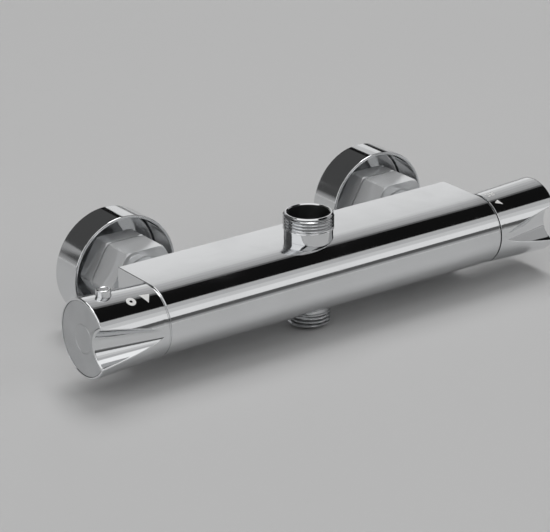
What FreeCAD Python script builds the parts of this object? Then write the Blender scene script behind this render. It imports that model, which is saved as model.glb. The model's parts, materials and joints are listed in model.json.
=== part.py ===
import FreeCAD, Part
import math
import os

# A wall-mounted bar shower valve with a thermostat at its right end and a flow and diverter
# handle at its left end.  The origin is on the wall face, midway between the two supplies:
# X runs along the bar to the right, Y into the wall and Z up.  All sizes are in millimetres.

# ------------------------------------------------------------ the valve on its wall
INLET_SPACING = 150.0          # between the two supply axes, the trade standard
BAR_OUT = 70.0                 # wall face to the bar's axis
BAR_DROP = 1.0                 # the bar's axis lies this far below the supply axes

# ------------------------------------------------------------ clearances
FIT = 0.1                      # radial, between pieces that are screwed or pushed together
RUNNING_FIT = 0.08             # radial, round a shaft or a sliding piece
LAP = 0.02                     # between the lapped faces of the ceramic discs
MOVING_GAP = 0.35              # between a turning or sliding piece and what stands beside it

# ------------------------------------------------------------ bar body
BODY_LENGTH = 191.0
BODY_R = 17.0                  # the round front, and half the body's height
BODY_BACK = 26.7               # axis to the flat back
BODY_EDGE = 0.6                # round along the two back edges
MOUTH_R = 14.5                 # threaded mouth at each end
MOUTH_DEPTH = 8.0
CARTRIDGE_BORE_R = 12.5
MIXED_PASSAGE_R = 4.5          # mixed water, from the thermostat to the diverter
CHANNEL_R = 2.6                # diverted water, from the diverter to each outlet
CHANNEL_OFFSET = 8.6           # each channel above or below the axis
HOT_CHANNEL_R = 3.6            # hot water, along the back of the body
HOT_CHANNEL_BACK = 18.7        # that channel's axis behind the bar's axis
COLD_PORT_R = 4.4
INLET_SOCKET_R = 9.5
INLET_SOCKET_DEPTH = 7.2

# ------------------------------------------------------------ wall connectors, unions and flanges
SUPPLY_THREAD_R = 20.955 / 2   # G 1/2, into the supply in the wall
SUPPLY_THREAD_LENGTH = 15.0    # measured from the wall face
SUPPLY_THREAD_END = 0.5        # the thread stops this far inside the wall
SHANK_R = 10.0                 # plain shank that carries the flange
UNION_THREAD_R = 26.441 / 2    # G 3/4, between connector and union nut
CONNECTOR_BORE_R = 7.5
HEX_ACROSS_FLATS = 33.7
HEX_CORNER_CUT = 0.9           # how far the end chamfers cut the corners back
HEX_CHAMFER_SLOPE = 0.5
CONNECTOR_HEX_LENGTH = 9.6
CONNECTOR_HEX_PROUD = 0.3      # beyond the flange's rim
RELIEF_LENGTH = 1.5            # thread relief between the hexagon and the union thread
RELIEF_DEPTH = 1.0
THREAD_CHAMFER = 1.0
NUT_LENGTH = 16.3
NUT_FRONT_WALL = 4.0
NUT_GAP = 1.0                  # between union nut and connector hex
FLANGE_R = 27.7
FLANGE_DEPTH = 17.2
FLANGE_WALL = 1.5
FLANGE_ROUND = 1.0
TAIL_BOSS_R = 13.5
TAIL_BOSS_GAP = 0.5            # between the boss and the union nut
TAIL_NECK_R = 10.0
TAIL_COLLAR_R = 12.6
TAIL_COLLAR_LENGTH = 3.1
TAIL_INNER_BORE_R = 6.0
TAIL_SCREW_GAP = 0.3           # left under the tail in its socket
WASHER_THICKNESS = 2.0
WASHER_BORE_R = 8.5
STRAINER_CUP_R = 6.5
STRAINER_LENGTH = 5.5
STRAINER_WALL = 0.5
STRAINER_SLOTS = 6
STRAINER_SLOT_WIDTH = 1.6

# ------------------------------------------------------------ check valves, one in each inlet tail
CHECK_LENGTH = 14.0
CHECK_WALL = 1.8
CHECK_SEAT_LENGTH = 2.0
CHECK_SEAT_R = 3.6
CHECK_GUIDE_LENGTH = 2.0
CHECK_GUIDE_HUB_R = 2.8
CHECK_GUIDE_ARMS = 3
CHECK_GUIDE_ARM_WIDTH = 1.4
CHECK_TRAVEL = 2.5
POPPET_R = 4.6
POPPET_THICKNESS = 1.8
POPPET_STEM_R = 1.4
SPRING_WALL = 0.7              # coil thickness of the small springs, drawn as plain sleeves

# ------------------------------------------------------------ outlets
OUTLET_X = -3.8                # both outlets share this upright axis
OUTLET_BACK = 5.5              # behind the bar's axis
OUTLET_SOCKET_DEPTH = 5.5
OUTLET_SEAL = 1.5
RISER_R = 12.0                 # M24 thread of the upper outlet
RISER_BORE_R = 10.0
RISER_HEIGHT = 12.6            # above the flat top
RISER_THREAD = 7.7             # threaded length at its upper end
RISER_PORT_R = 7.5
HOSE_R = 20.955 / 2            # G 1/2 thread of the lower outlet
HOSE_BORE_R = 8.0
HOSE_HEIGHT = 8.2              # below the flat underside
HOSE_THREAD = 6.5              # threaded length at its lower end
HOSE_PORT_R = 6.5
NIPPLE_CHAMFER = 1.0
NECK_STEP = 0.5                # how far each plain neck is turned below its thread

# ------------------------------------------------------------ both cartridges
CARTRIDGE_R = CARTRIDGE_BORE_R - 2 * FIT
LAND = 2.5                     # each side of a seal groove
GROOVE = 2.5
GROOVE_R = 10.6
CARTRIDGE_NECK_R = 6.5
CARTRIDGE_NECK_OUT = 1.0       # beyond the body's end
SPINDLE_R = 5.0
SPINDLE_SEAL_SETBACK = 3.0     # from the neck's outer end to the spindle's seal
SPINDLE_SEAL_LENGTH = 1.8
SPINDLE_SEAL_DEPTH = 0.9
SPINDLE_HEX = 7.0              # across flats, drives the adaptor
SPINDLE_HEX_START = 6.0
SPINDLE_OUT = 24.0
GLAND_BORE_R = 7.0
GLAND_SETBACK = 0.3            # inside the body's end
GLAND_NOSE_R = 9.0
GLAND_NOSE_OUT = 5.0

# ------------------------------------------------------------ flow cartridge, left
FLOW_CAVITY_R = 11.2
FLOW_CAVITY_DEPTH = 17.0       # of the cavity's outer end, from the body's end
FLOW_BASE_SEAL = 1.5
FIXED_DISC = 4.0
FIXED_DISC_R = FLOW_CAVITY_R - FIT
MOVING_DISC = 4.0
MOVING_DISC_R = 10.85
DISC_INLET_R = 3.2
DISC_PORT_R = 1.9
DISC_SLOT_WIDTH = 4.6
DISC_SLOT_DEPTH = 2.4
DISC_KEY_WIDTH = 4.0
DISC_KEY_DEPTH = 1.2
FLOW_CARTRIDGE_LENGTH = 24.5   # from its shoulder to its base
FLOW_DRIVE_R = 8.0

# ------------------------------------------------------------ thermostatic cartridge, right
CHAMBER = 12.0                 # length of the cold and of the hot water chamber
CHAMBER_R = 10.5
THERMOSTAT_BORE_R = 8.5
THERMOSTAT_NECK_DEPTH = 12.5   # of the bore's outer end, from the body's end
WINDOW = 4.0                   # length and width of each water window
WINDOWS = 4
FILTER_WALL = 0.4
FILTER_SLOTS = 6
FILTER_SLOT_WIDTH = 2.0
THRUST_FLANGE = 1.9
THRUST_FLANGE_R = 8.0
ADJUSTING_THREAD_R = 3.0
ADJUSTING_THREAD_LENGTH = 11.5
ADJUSTING_LEAD = 2.0           # axial travel for each turn of the handle
CARRIER_R = 6.8
CARRIER_LENGTH = 7.5
CARRIER_GAP = 2.0              # behind the thrust flange at rest
CARRIER_CUP_DEPTH = 2.0
CARRIER_CUP_R = 6.1
OVERLOAD_SPRING = 8.0
OVERLOAD_SPRING_R = 6.0
OVERLOAD_SPRING_WALL = 1.3
WAX_HEAD = 2.0
WAX_HEAD_R = 6.7
WAX_BODY_R = 4.4
WAX_BODY_LENGTH = 14.0
WAX_ROD_R = 1.5
WAX_ROD_LENGTH = 3.0
SHUTTLE_WALL = 1.2
SHUTTLE_WEB = 3.0
SHUTTLE_EDGE_GAP = 0.5         # how far each edge stands back from its windows at 38 degrees
SHUTTLE_SEAL_LENGTH = 1.5
SHUTTLE_SEAL_DEPTH = 0.6
RETURN_SPRING_R = 6.8
RETURN_SPRING_WALL = 1.3
BASE_RING = 2.0
BASE_RING_BORE_R = 5.0

# ------------------------------------------------------------ stops and handle fixings, both ends
SEAM_RING = 0.6                # bright ring between the body and each handle
SEAM_RING_SETBACK = 0.4        # inside the body's round front
SEAM_RING_WIDTH = 2.0
STOP_RING_START = 0.7          # from the body's end
STOP_RING_R = 12.2
STOP_LUG = 3.0                 # length of the lugs along the axis
STOP_CLEARANCE_DEG = 1.0
MOVING_LUG_HALF_DEG = 20.0
ADAPTOR_HEX = 12.4             # across flats, carries the handle
ADAPTOR_END = 26.0             # from the body's end
SCREW_R = 2.0
SCREW_HOLE_DEPTH = 12.0
SCREW_HEAD_R = 3.6
SCREW_HEAD = 2.4
SCREW_LENGTH = 14.0
SCREW_DRIVE = 2.5              # across flats of the socket in the head

# ------------------------------------------------------------ handles
HANDLE_LENGTH = 35.5           # from the body's end
HANDLE_END_R = 18.6
HANDLE_WALL = 2.2
HANDLE_RIM = 0.5               # round at the outer end
SCOOP_START = 3.6              # where the thumb scoop runs out, from the body's end
SCOOP_START_R = 4.7            # round across the scoop, there
SCOOP_END_R = 9.7              # round across the scoop, at the handle's outer end
SCOOP_FLOOR = 8.7              # from the axis to the scoop's floor at the outer end
SCOOP_WALL = 2.0
HANDLE_WEB = 2.6
BOSS_R = 9.0
BOSS_LENGTH = 15.0             # inwards from the web
SOCKET_CLEARANCE = 1.0         # beyond the adaptor's end, in its socket
CAP_LIP = 1.1                  # handle wall left round the end cap
CAP_THICKNESS = 1.7
CAP_SETBACK = 0.2              # below the handle's rim
CAP_GAP = 0.2                  # round the end cap
CAP_RING_R = 6.8               # shallow ring turned in the cap's face
CAP_RING_WIDTH = 0.5
CAP_RING_DEPTH = 0.2
FLOW_TURN = 90.0               # each way from off, degrees
COLD_TURN = 225.0              # from 38 degrees to cold, degrees of turn
HOT_TURN = 50.0                # from 38 degrees to the hot stop, degrees of turn

# ------------------------------------------------------------ flow stop button, on the left handle
BUTTON_R = 3.45
BUTTON_SETBACK = 11.2          # from the handle's outer end
BUTTON_HEIGHT = 3.0            # above the handle
BUTTON_TRAVEL = 2.0
BUTTON_ROUND = 0.7
BUTTON_FLANGE_R = 4.6
BUTTON_FLANGE = 1.2
BUTTON_FLANGE_DEPTH = 1.1      # of the flange's top below the inside of the handle's crown
BUTTON_SPIGOT_R = 2.1
BUTTON_SPIGOT = 1.7
BUTTON_SPRING_R = 3.2
BUTTON_SEAT_DEPTH = 0.6        # of the spring's seat below the boss's crown

# ------------------------------------------------------------ values that follow from the sizes above
BAR_Y = -BAR_OUT
BAR_Z = -BAR_DROP
BODY_BACK_OUT = BAR_OUT - BODY_BACK
HEX_FRONT = FLANGE_DEPTH + CONNECTOR_HEX_PROUD
NUT_BACK = HEX_FRONT + NUT_GAP
NUT_FRONT = NUT_BACK + NUT_LENGTH
COLLAR_FRONT = NUT_FRONT - NUT_FRONT_WALL - 2 * FIT
COLLAR_BACK = COLLAR_FRONT - TAIL_COLLAR_LENGTH
NOSE_END = COLLAR_BACK - WASHER_THICKNESS
TAIL_BOSS_END = NUT_FRONT + TAIL_BOSS_GAP
TAIL_END = BODY_BACK_OUT + INLET_SOCKET_DEPTH - TAIL_SCREW_GAP
CHECK_START = COLLAR_BACK + 2 * FIT
CHECK_END = CHECK_START + CHECK_LENGTH
CHECK_R = CONNECTOR_BORE_R - FIT
POPPET_BACK = CHECK_START + CHECK_SEAT_LENGTH + LAP
POPPET_FRONT = POPPET_BACK + POPPET_THICKNESS
CHECK_GUIDE_START = CHECK_END - CHECK_GUIDE_LENGTH
SEAL_GROUP = 2 * LAND + GROOVE
COLD_CHAMBER_START = MOUTH_DEPTH + SEAL_GROUP
HOT_CHAMBER_START = COLD_CHAMBER_START + CHAMBER + SEAL_GROUP
THERMOSTAT_DEPTH = HOT_CHAMBER_START + CHAMBER + SEAL_GROUP
COLD_WINDOW = COLD_CHAMBER_START + CHAMBER / 2
HOT_WINDOW = HOT_CHAMBER_START + CHAMBER / 2
FLOW_BASE = MOUTH_DEPTH + FLOW_CARTRIDGE_LENGTH
FLOW_DEPTH = FLOW_BASE + FLOW_BASE_SEAL
MOVING_DISC_FACE = FLOW_BASE - FIXED_DISC - LAP
MOVING_DISC_BACK = MOVING_DISC_FACE - MOVING_DISC
HANDLE_START = SEAM_RING + MOVING_GAP
CAP_FLOOR = HANDLE_LENGTH - CAP_SETBACK - CAP_THICKNESS
WEB_START = CAP_FLOOR - HANDLE_WEB
BOSS_START = WEB_START - BOSS_LENGTH
BUTTON_OUT = HANDLE_LENGTH - BUTTON_SETBACK
SOCKET_END = ADAPTOR_END + SOCKET_CLEARANCE
SCREW_SEAT = CAP_FLOOR - SCREW_HEAD - FIT
STOP_RING_END = GLAND_NOSE_OUT
STOP_LUG_END = STOP_RING_END + STOP_LUG


def point(x, y, z):
    return FreeCAD.Vector(x, y, z)


ORIGIN = point(0, 0, 0)
ALONG = point(1, 0, 0)


# ------------------------------------------------------------ drawing helpers
def turned(profile):
    """A solid of revolution about X, from (along, radius) corners given in order."""
    corners = [point(along, radius, 0) for along, radius in profile]
    outline = Part.makePolygon(corners + corners[:1])
    return Part.Face(outline).revolve(ORIGIN, ALONG, 360)


def stepped(start, steps):
    """A stepped round bar along X, from (length, radius) steps."""
    profile = [(start, 0)]
    along = start
    for length, radius in steps:
        profile.append((along, radius))
        along += length
        profile.append((along, radius))
    profile.append((along, 0))
    return turned(profile)


def bar(start, end, radius):
    """A plain round bar along X."""
    return Part.makeCylinder(radius, end - start, point(start, 0, 0), ALONG)


def tube(start, end, inner, outer):
    """A ring or tube along X."""
    return turned([(start, inner), (start, outer), (end, outer), (end, inner)])


def cone(start, start_radius, end, end_radius):
    """A tapered round bar along X."""
    return turned([(start, 0), (start, start_radius), (end, end_radius), (end, 0)])


def hexagon(start, end, across_flats):
    """A hexagonal bar along X with two flats square to Z."""
    corner = across_flats / math.sqrt(3)
    corners = []
    for k in range(6):
        turn = math.radians(60 * k)
        corners.append(point(start, corner * math.cos(turn), corner * math.sin(turn)))
    outline = Part.makePolygon(corners + corners[:1])
    return Part.Face(outline).extrude(point(end - start, 0, 0))


def chamfered_hexagon(start, end, across_flats):
    """A hexagonal bar whose corners are turned back at both ends."""
    corner = across_flats / math.sqrt(3) + FIT
    cut = HEX_CORNER_CUT
    slope = cut * HEX_CHAMFER_SLOPE
    envelope = turned([
        (start, 0), (start, corner - cut), (start + slope, corner),
        (end - slope, corner), (end, corner - cut), (end, 0)])
    return hexagon(start, end, across_flats).common(envelope)


def block(low, high):
    """A box between two corners."""
    size = [high[k] - low[k] for k in range(3)]
    return Part.makeBox(size[0], size[1], size[2], point(*low))


def round_about(shape, count):
    """Copies of a shape spaced evenly about X."""
    copies = []
    for k in range(count):
        copy = shape.copy()
        copy.rotate(ORIGIN, ALONG, 360.0 * k / count)
        copies.append(copy)
    return copies


def sector(start, end, inner, outer, from_deg, to_deg):
    """Part of a ring, between two angles counted from the top towards the front."""
    face = Part.Face(Part.makePolygon([
        point(start, 0, inner), point(end, 0, inner),
        point(end, 0, outer), point(start, 0, outer), point(start, 0, inner)]))
    face.rotate(ORIGIN, ALONG, from_deg)
    return face.revolve(ORIGIN, ALONG, to_deg - from_deg)


def cut_all(shape, tools):
    """A shape less a list of tools."""
    for tool in tools:
        shape = shape.cut(tool)
    return shape


def at_end(shape, side):
    """Sets a piece drawn outwards from a seam at the left (-1) or right (1) end of the bar."""
    if side < 0:
        shape = shape.mirror(ORIGIN, ALONG)
    return shape.translated(point(side * BODY_LENGTH / 2, BAR_Y, BAR_Z))


def at_inlet(shape, side):
    """Sets a piece drawn outwards from the wall along X on the left or right supply axis."""
    shape = shape.copy()
    shape.rotate(ORIGIN, point(0, 0, 1), -90)
    return shape.translated(point(side * INLET_SPACING / 2, 0, 0))


def at_outlet(shape, up):
    """Sets a piece drawn away from the bar's axis along X on the outlets' axis, up or down."""
    shape = shape.copy()
    shape.rotate(ORIGIN, point(0, 1, 0), -90 * up)
    return shape.translated(point(OUTLET_X, BAR_Y + OUTLET_BACK, BAR_Z))


def solid_of(shape):
    """The single solid of a finished piece, with its split faces joined."""
    solids = shape.removeSplitter().Solids
    return solids[0] if len(solids) == 1 else Part.makeCompound(solids)


# ------------------------------------------------------------ body
def body_section(x):
    """The D-shaped section: flat top, back and underside, and a half-round front."""
    top = point(x, 0, BODY_R)
    front = point(x, -BODY_R, 0)
    bottom = point(x, 0, -BODY_R)
    low_back = point(x, BODY_BACK, -BODY_R)
    high_back = point(x, BODY_BACK, BODY_R)
    edges = [
        Part.Arc(top, front, bottom).toShape(),
        Part.LineSegment(bottom, low_back).toShape(),
        Part.LineSegment(low_back, high_back).toShape(),
        Part.LineSegment(high_back, top).toShape()]
    return Part.Face(Part.Wire(edges))


def long_back_edges(shape):
    """The two long edges where the flat back meets the top and the underside."""
    found = []
    for edge in shape.Edges:
        middle = edge.CenterOfMass
        if edge.Length > BODY_LENGTH * 0.9 and middle.y > BODY_BACK - FIT:
            found.append(edge)
    return found


def waterway(start, end, radius, back, up):
    """A drilled channel along the bar."""
    drill = Part.makeCylinder(radius, end - start, point(start, back, up), ALONG)
    return drill


def make_body():
    half = BODY_LENGTH / 2
    body = body_section(-half).extrude(point(BODY_LENGTH, 0, 0))
    body = body.makeFillet(BODY_EDGE, long_back_edges(body))
    thermostat_floor = half - THERMOSTAT_DEPTH
    flow_floor = FLOW_DEPTH - half
    hot_port_x = half - HOT_WINDOW
    back_drill = point(0, -1, 0)
    bores = [
        bar(half - MOUTH_DEPTH, half, MOUTH_R),
        bar(thermostat_floor, half, CARTRIDGE_BORE_R),
        bar(-half, -half + MOUTH_DEPTH, MOUTH_R),
        bar(-half, flow_floor, CARTRIDGE_BORE_R),
        bar(flow_floor, thermostat_floor, MIXED_PASSAGE_R),
        waterway(-INLET_SPACING / 2, hot_port_x, HOT_CHANNEL_R, HOT_CHANNEL_BACK, 0),
        Part.makeCylinder(
            HOT_CHANNEL_R, HOT_CHANNEL_BACK, point(hot_port_x, HOT_CHANNEL_BACK, 0), back_drill),
        Part.makeCylinder(
            COLD_PORT_R, BODY_BACK, point(INLET_SPACING / 2, BODY_BACK, 0), back_drill)]
    for up in (-1, 1):
        bores.append(waterway(flow_floor, OUTLET_X, CHANNEL_R, 0, up * CHANNEL_OFFSET))
    body = cut_all(body, bores).translated(point(0, BAR_Y, BAR_Z))
    sockets = [
        at_inlet(bar(BODY_BACK_OUT, BODY_BACK_OUT + INLET_SOCKET_DEPTH, INLET_SOCKET_R), -1),
        at_inlet(bar(BODY_BACK_OUT, BODY_BACK_OUT + INLET_SOCKET_DEPTH, INLET_SOCKET_R), 1),
        at_outlet(outlet_cavity(RISER_R, RISER_PORT_R), 1),
        at_outlet(outlet_cavity(HOSE_R, HOSE_PORT_R), -1)]
    return cut_all(body, sockets)


def outlet_cavity(thread_radius, port_radius):
    """The socket for an outlet nipple, with the port below it."""
    floor = BODY_R - OUTLET_SOCKET_DEPTH
    socket = bar(floor, BODY_R + FIT, thread_radius - NECK_STEP + FIT)
    return socket.fuse(bar(CHANNEL_OFFSET, floor, port_radius))


# ------------------------------------------------------------ outlets
def make_nipple(thread_radius, bore_radius, height, thread_length):
    """An outlet nipple drawn away from the bar's axis: plain neck, thread and chamfered rim."""
    start = BODY_R - OUTLET_SOCKET_DEPTH + OUTLET_SEAL
    end = BODY_R + height
    neck_end = end - thread_length
    neck_radius = thread_radius - NECK_STEP
    lead_in = NIPPLE_CHAMFER / 2
    return turned([
        (start, bore_radius), (start, neck_radius), (neck_end, neck_radius),
        (neck_end, thread_radius), (end - NIPPLE_CHAMFER, thread_radius),
        (end, thread_radius - NIPPLE_CHAMFER), (end, bore_radius + lead_in),
        (end - lead_in, bore_radius)])


def make_nipple_seal(thread_radius, bore_radius):
    floor = BODY_R - OUTLET_SOCKET_DEPTH
    return tube(floor, floor + OUTLET_SEAL, bore_radius, thread_radius - NECK_STEP)


# ------------------------------------------------------------ wall side, drawn outwards from the wall
def make_connector():
    """Supply thread, flange shank, hexagon and union nose in one turned piece, bored through."""
    hex_back = HEX_FRONT - CONNECTOR_HEX_LENGTH
    supply = turned([
        (-SUPPLY_THREAD_LENGTH, 0), (-SUPPLY_THREAD_LENGTH, SUPPLY_THREAD_R - THREAD_CHAMFER),
        (THREAD_CHAMFER - SUPPLY_THREAD_LENGTH, SUPPLY_THREAD_R),
        (-SUPPLY_THREAD_END, SUPPLY_THREAD_R), (-SUPPLY_THREAD_END, SHANK_R),
        (hex_back, SHANK_R), (hex_back, 0)])
    nose_relief = UNION_THREAD_R - RELIEF_DEPTH
    nose = turned([
        (HEX_FRONT, 0), (HEX_FRONT, nose_relief), (HEX_FRONT + RELIEF_LENGTH, nose_relief),
        (HEX_FRONT + RELIEF_LENGTH, UNION_THREAD_R), (NOSE_END - THREAD_CHAMFER, UNION_THREAD_R),
        (NOSE_END, UNION_THREAD_R - THREAD_CHAMFER), (NOSE_END, 0)])
    nut = chamfered_hexagon(hex_back, HEX_FRONT, HEX_ACROSS_FLATS)
    blank = supply.fuse([nut, nose])
    return blank.cut(bar(-SUPPLY_THREAD_LENGTH, NOSE_END, CONNECTOR_BORE_R))


def make_flange():
    """A deep open cup that covers the hole in the wall, held by the connector's shank."""
    cup = turned([
        (0, 0), (0, FLANGE_R - FLANGE_ROUND), (FLANGE_ROUND, FLANGE_R), (FLANGE_DEPTH, FLANGE_R),
        (FLANGE_DEPTH, FLANGE_R - FLANGE_WALL), (FLANGE_WALL, FLANGE_R - FLANGE_WALL),
        (FLANGE_WALL, 0)])
    return cup.cut(bar(0, FLANGE_WALL, SUPPLY_THREAD_R + FIT))


def make_union_nut():
    """The loose nut that draws the tail onto the connector's nose."""
    nut = chamfered_hexagon(NUT_BACK, NUT_FRONT, HEX_ACROSS_FLATS)
    thread_end = NUT_FRONT - NUT_FRONT_WALL
    thread = bar(NUT_BACK, thread_end, UNION_THREAD_R + FIT)
    neck_hole = bar(thread_end, NUT_FRONT, TAIL_NECK_R + FIT)
    return nut.cut(thread).cut(neck_hole)


def make_union_washer():
    return tube(NOSE_END, COLLAR_BACK, WASHER_BORE_R, UNION_THREAD_R - 2 * FIT)


def make_inlet_tail():
    """Screwed into the body: a round boss, then a neck and collar that hold the union nut."""
    blank = stepped(COLLAR_BACK, [
        (COLLAR_FRONT - COLLAR_BACK, TAIL_COLLAR_R),
        (TAIL_BOSS_END - COLLAR_FRONT, TAIL_NECK_R),
        (BODY_BACK_OUT - TAIL_BOSS_END, TAIL_BOSS_R),
        (TAIL_END - BODY_BACK_OUT, INLET_SOCKET_R - FIT)])
    blank = blank.cut(bar(COLLAR_BACK, CHECK_END, CONNECTOR_BORE_R))
    return blank.cut(bar(CHECK_END, TAIL_END, TAIL_INNER_BORE_R))


def make_strainer():
    """A slotted cup with a thin flange, trapped against the end of the tail."""
    flange_end = COLLAR_BACK - FIT
    flange_start = flange_end - STRAINER_WALL
    cup_end = flange_start - STRAINER_LENGTH
    cup = tube(cup_end, flange_start, STRAINER_CUP_R - STRAINER_WALL, STRAINER_CUP_R)
    floor = bar(cup_end, cup_end + STRAINER_WALL, STRAINER_CUP_R)
    flange = tube(
        flange_start, flange_end, STRAINER_CUP_R - STRAINER_WALL, WASHER_BORE_R - FIT)
    strainer = cup.fuse([floor, flange])
    half = STRAINER_SLOT_WIDTH / 2
    slot = block(
        (cup_end + 2 * STRAINER_WALL, -half, 0), (flange_start - STRAINER_WALL, half, STRAINER_CUP_R + FIT))
    return cut_all(strainer, round_about(slot, STRAINER_SLOTS))


# ------------------------------------------------------------ check valve
def make_check_housing():
    """A sleeve with a seat at the supply end and a three-armed stem guide at the other."""
    inner = CHECK_R - CHECK_WALL
    seat_end = CHECK_START + CHECK_SEAT_LENGTH
    sleeve = tube(CHECK_START, CHECK_END, inner, CHECK_R)
    seat = tube(CHECK_START, seat_end, CHECK_SEAT_R, inner)
    half = CHECK_GUIDE_ARM_WIDTH / 2
    arm = block((CHECK_GUIDE_START, -half, 0), (CHECK_END, half, inner + FIT))
    hub = bar(CHECK_GUIDE_START, CHECK_END, CHECK_GUIDE_HUB_R)
    housing = sleeve.fuse([seat, hub] + round_about(arm, CHECK_GUIDE_ARMS))
    return housing.cut(bar(CHECK_GUIDE_START, CHECK_END, POPPET_STEM_R + RUNNING_FIT))


def make_poppet():
    """A coned disc on a stem.  It lifts off its seat away from the wall."""
    stem_end = CHECK_END
    return turned([
        (POPPET_BACK, 0), (POPPET_BACK, CHECK_SEAT_R), (POPPET_BACK, POPPET_R),
        (POPPET_FRONT - POPPET_THICKNESS / 2, POPPET_R), (POPPET_FRONT, POPPET_R / 2 + SPRING_WALL),
        (POPPET_FRONT, POPPET_STEM_R), (stem_end, POPPET_STEM_R), (stem_end, 0)])


def make_check_spring():
    inner = POPPET_STEM_R + FIT
    return tube(POPPET_FRONT, CHECK_GUIDE_START, inner, inner + SPRING_WALL)


# ------------------------------------------------------------ pieces both ends share
def seal_in_groove(start):
    """A ring seal squeezed into a cartridge's groove that starts this far inside the body."""
    return tube(-start - GROOVE, -start, GROOVE_R + FIT / 2, CARTRIDGE_BORE_R - FIT / 2)


def sealing_lands():
    """Two lands with a seal groove between them, as steps of a cartridge's outside."""
    return [(LAND, CARTRIDGE_R), (GROOVE, GROOVE_R), (LAND, CARTRIDGE_R)]


def make_gland():
    """The ring nut that holds a cartridge in the body, with a nose that carries the stop ring."""
    nut = stepped(-MOUTH_DEPTH, [
        (MOUTH_DEPTH - GLAND_SETBACK, MOUTH_R - FIT),
        (GLAND_SETBACK + GLAND_NOSE_OUT, GLAND_NOSE_R)])
    return nut.cut(bar(-MOUTH_DEPTH, GLAND_NOSE_OUT, GLAND_BORE_R))


def make_seam_ring():
    outer = BODY_R - SEAM_RING_SETBACK
    return tube(0, SEAM_RING, outer - SEAM_RING_WIDTH, outer)


def make_stop_ring(back_turn, front_turn):
    """The fixed stop: a ring on the gland's nose with a lug between the ends of the travel."""
    reach = MOVING_LUG_HALF_DEG + STOP_CLEARANCE_DEG
    inner = GLAND_NOSE_R + FIT
    ring = tube(STOP_RING_START, STOP_RING_END, inner, STOP_RING_R)
    lug = sector(
        STOP_RING_END, STOP_LUG_END, inner, STOP_RING_R, front_turn + reach, 360 - back_turn - reach)
    return ring.fuse(lug)


def make_adaptor():
    """The plastic hub on the spindle: a hexagon for the handle and a lug that meets the stops."""
    start = STOP_RING_END + MOVING_GAP
    flange = bar(start, STOP_LUG_END, GLAND_NOSE_R - 2 * FIT)
    hub = hexagon(start, ADAPTOR_END, ADAPTOR_HEX)
    lug = sector(
        start, STOP_LUG_END, SPINDLE_R + FIT, STOP_RING_R, -MOVING_LUG_HALF_DEG, MOVING_LUG_HALF_DEG)
    blank = flange.fuse([hub, lug])
    blank = blank.cut(hexagon(start, ADAPTOR_END, SPINDLE_HEX + 2 * FIT))
    return blank.cut(bar(start, SPINDLE_HEX_START, SPINDLE_R + FIT))


def spindle_outside():
    """The part of a spindle that is the same at both ends, out through the neck."""
    neck_end = CARTRIDGE_NECK_OUT
    seal_end = neck_end - SPINDLE_SEAL_SETBACK
    seal_start = seal_end - SPINDLE_SEAL_LENGTH
    shaft = bar(-MOUTH_DEPTH, SPINDLE_HEX_START, SPINDLE_R)
    groove = tube(seal_start, seal_end, SPINDLE_R - SPINDLE_SEAL_DEPTH, SPINDLE_R + FIT)
    drive = hexagon(SPINDLE_HEX_START, SPINDLE_OUT, SPINDLE_HEX)
    hole = bar(SPINDLE_OUT - SCREW_HOLE_DEPTH, SPINDLE_OUT, SCREW_R + FIT)
    return shaft.cut(groove).fuse(drive).cut(hole)


def make_spindle_seal():
    seal_end = CARTRIDGE_NECK_OUT - SPINDLE_SEAL_SETBACK
    return tube(
        seal_end - SPINDLE_SEAL_LENGTH, seal_end, SPINDLE_R - SPINDLE_SEAL_DEPTH + FIT / 2,
        SPINDLE_R + RUNNING_FIT / 2)


def make_handle_screw():
    """A socket screw that pulls the handle's web onto the spindle."""
    head = bar(SCREW_SEAT, SCREW_SEAT + SCREW_HEAD, SCREW_HEAD_R)
    shank = bar(SCREW_SEAT - SCREW_LENGTH, SCREW_SEAT, SCREW_R)
    socket = hexagon(SCREW_SEAT + SCREW_HEAD / 2, SCREW_SEAT + SCREW_HEAD, SCREW_DRIVE)
    return head.fuse(shank).cut(socket)


# ------------------------------------------------------------ flow and diverter cartridge
def make_flow_housing():
    wall = FLOW_CARTRIDGE_LENGTH - SEAL_GROUP
    blank = stepped(-FLOW_BASE, [(wall, CARTRIDGE_R)] + sealing_lands() + [
        (MOUTH_DEPTH + CARTRIDGE_NECK_OUT, CARTRIDGE_NECK_R)])
    cavity = bar(-FLOW_BASE, -FLOW_CAVITY_DEPTH, FLOW_CAVITY_R)
    neck = bar(-FLOW_CAVITY_DEPTH, CARTRIDGE_NECK_OUT, SPINDLE_R + RUNNING_FIT)
    return blank.cut(cavity).cut(neck)


def disc_ports(start, end):
    """The inlet and the two outlet ports that run through the fixed disc and its seal."""
    ports = [bar(start, end, DISC_INLET_R)]
    for up in (-1, 1):
        port = Part.makeCylinder(
            DISC_PORT_R, end - start, point(start, 0, up * CHANNEL_OFFSET), ALONG)
        ports.append(port)
    return ports


def make_fixed_disc():
    start = -FLOW_BASE
    end = FIXED_DISC - FLOW_BASE
    return cut_all(bar(start, end, FIXED_DISC_R), disc_ports(start, end))


def make_flow_base_seal():
    start = -FLOW_DEPTH
    end = -FLOW_BASE
    return cut_all(bar(start, end, CARTRIDGE_R), disc_ports(start, end))


def disc_key(clearance):
    """The bar that turns the moving disc, or with a clearance the groove it sits in."""
    half = DISC_KEY_WIDTH / 2 + clearance
    reach = FLOW_DRIVE_R + clearance
    return block(
        (-MOVING_DISC_BACK - DISC_KEY_DEPTH - clearance, -reach, -half), (-MOVING_DISC_BACK, reach, half))


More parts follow.
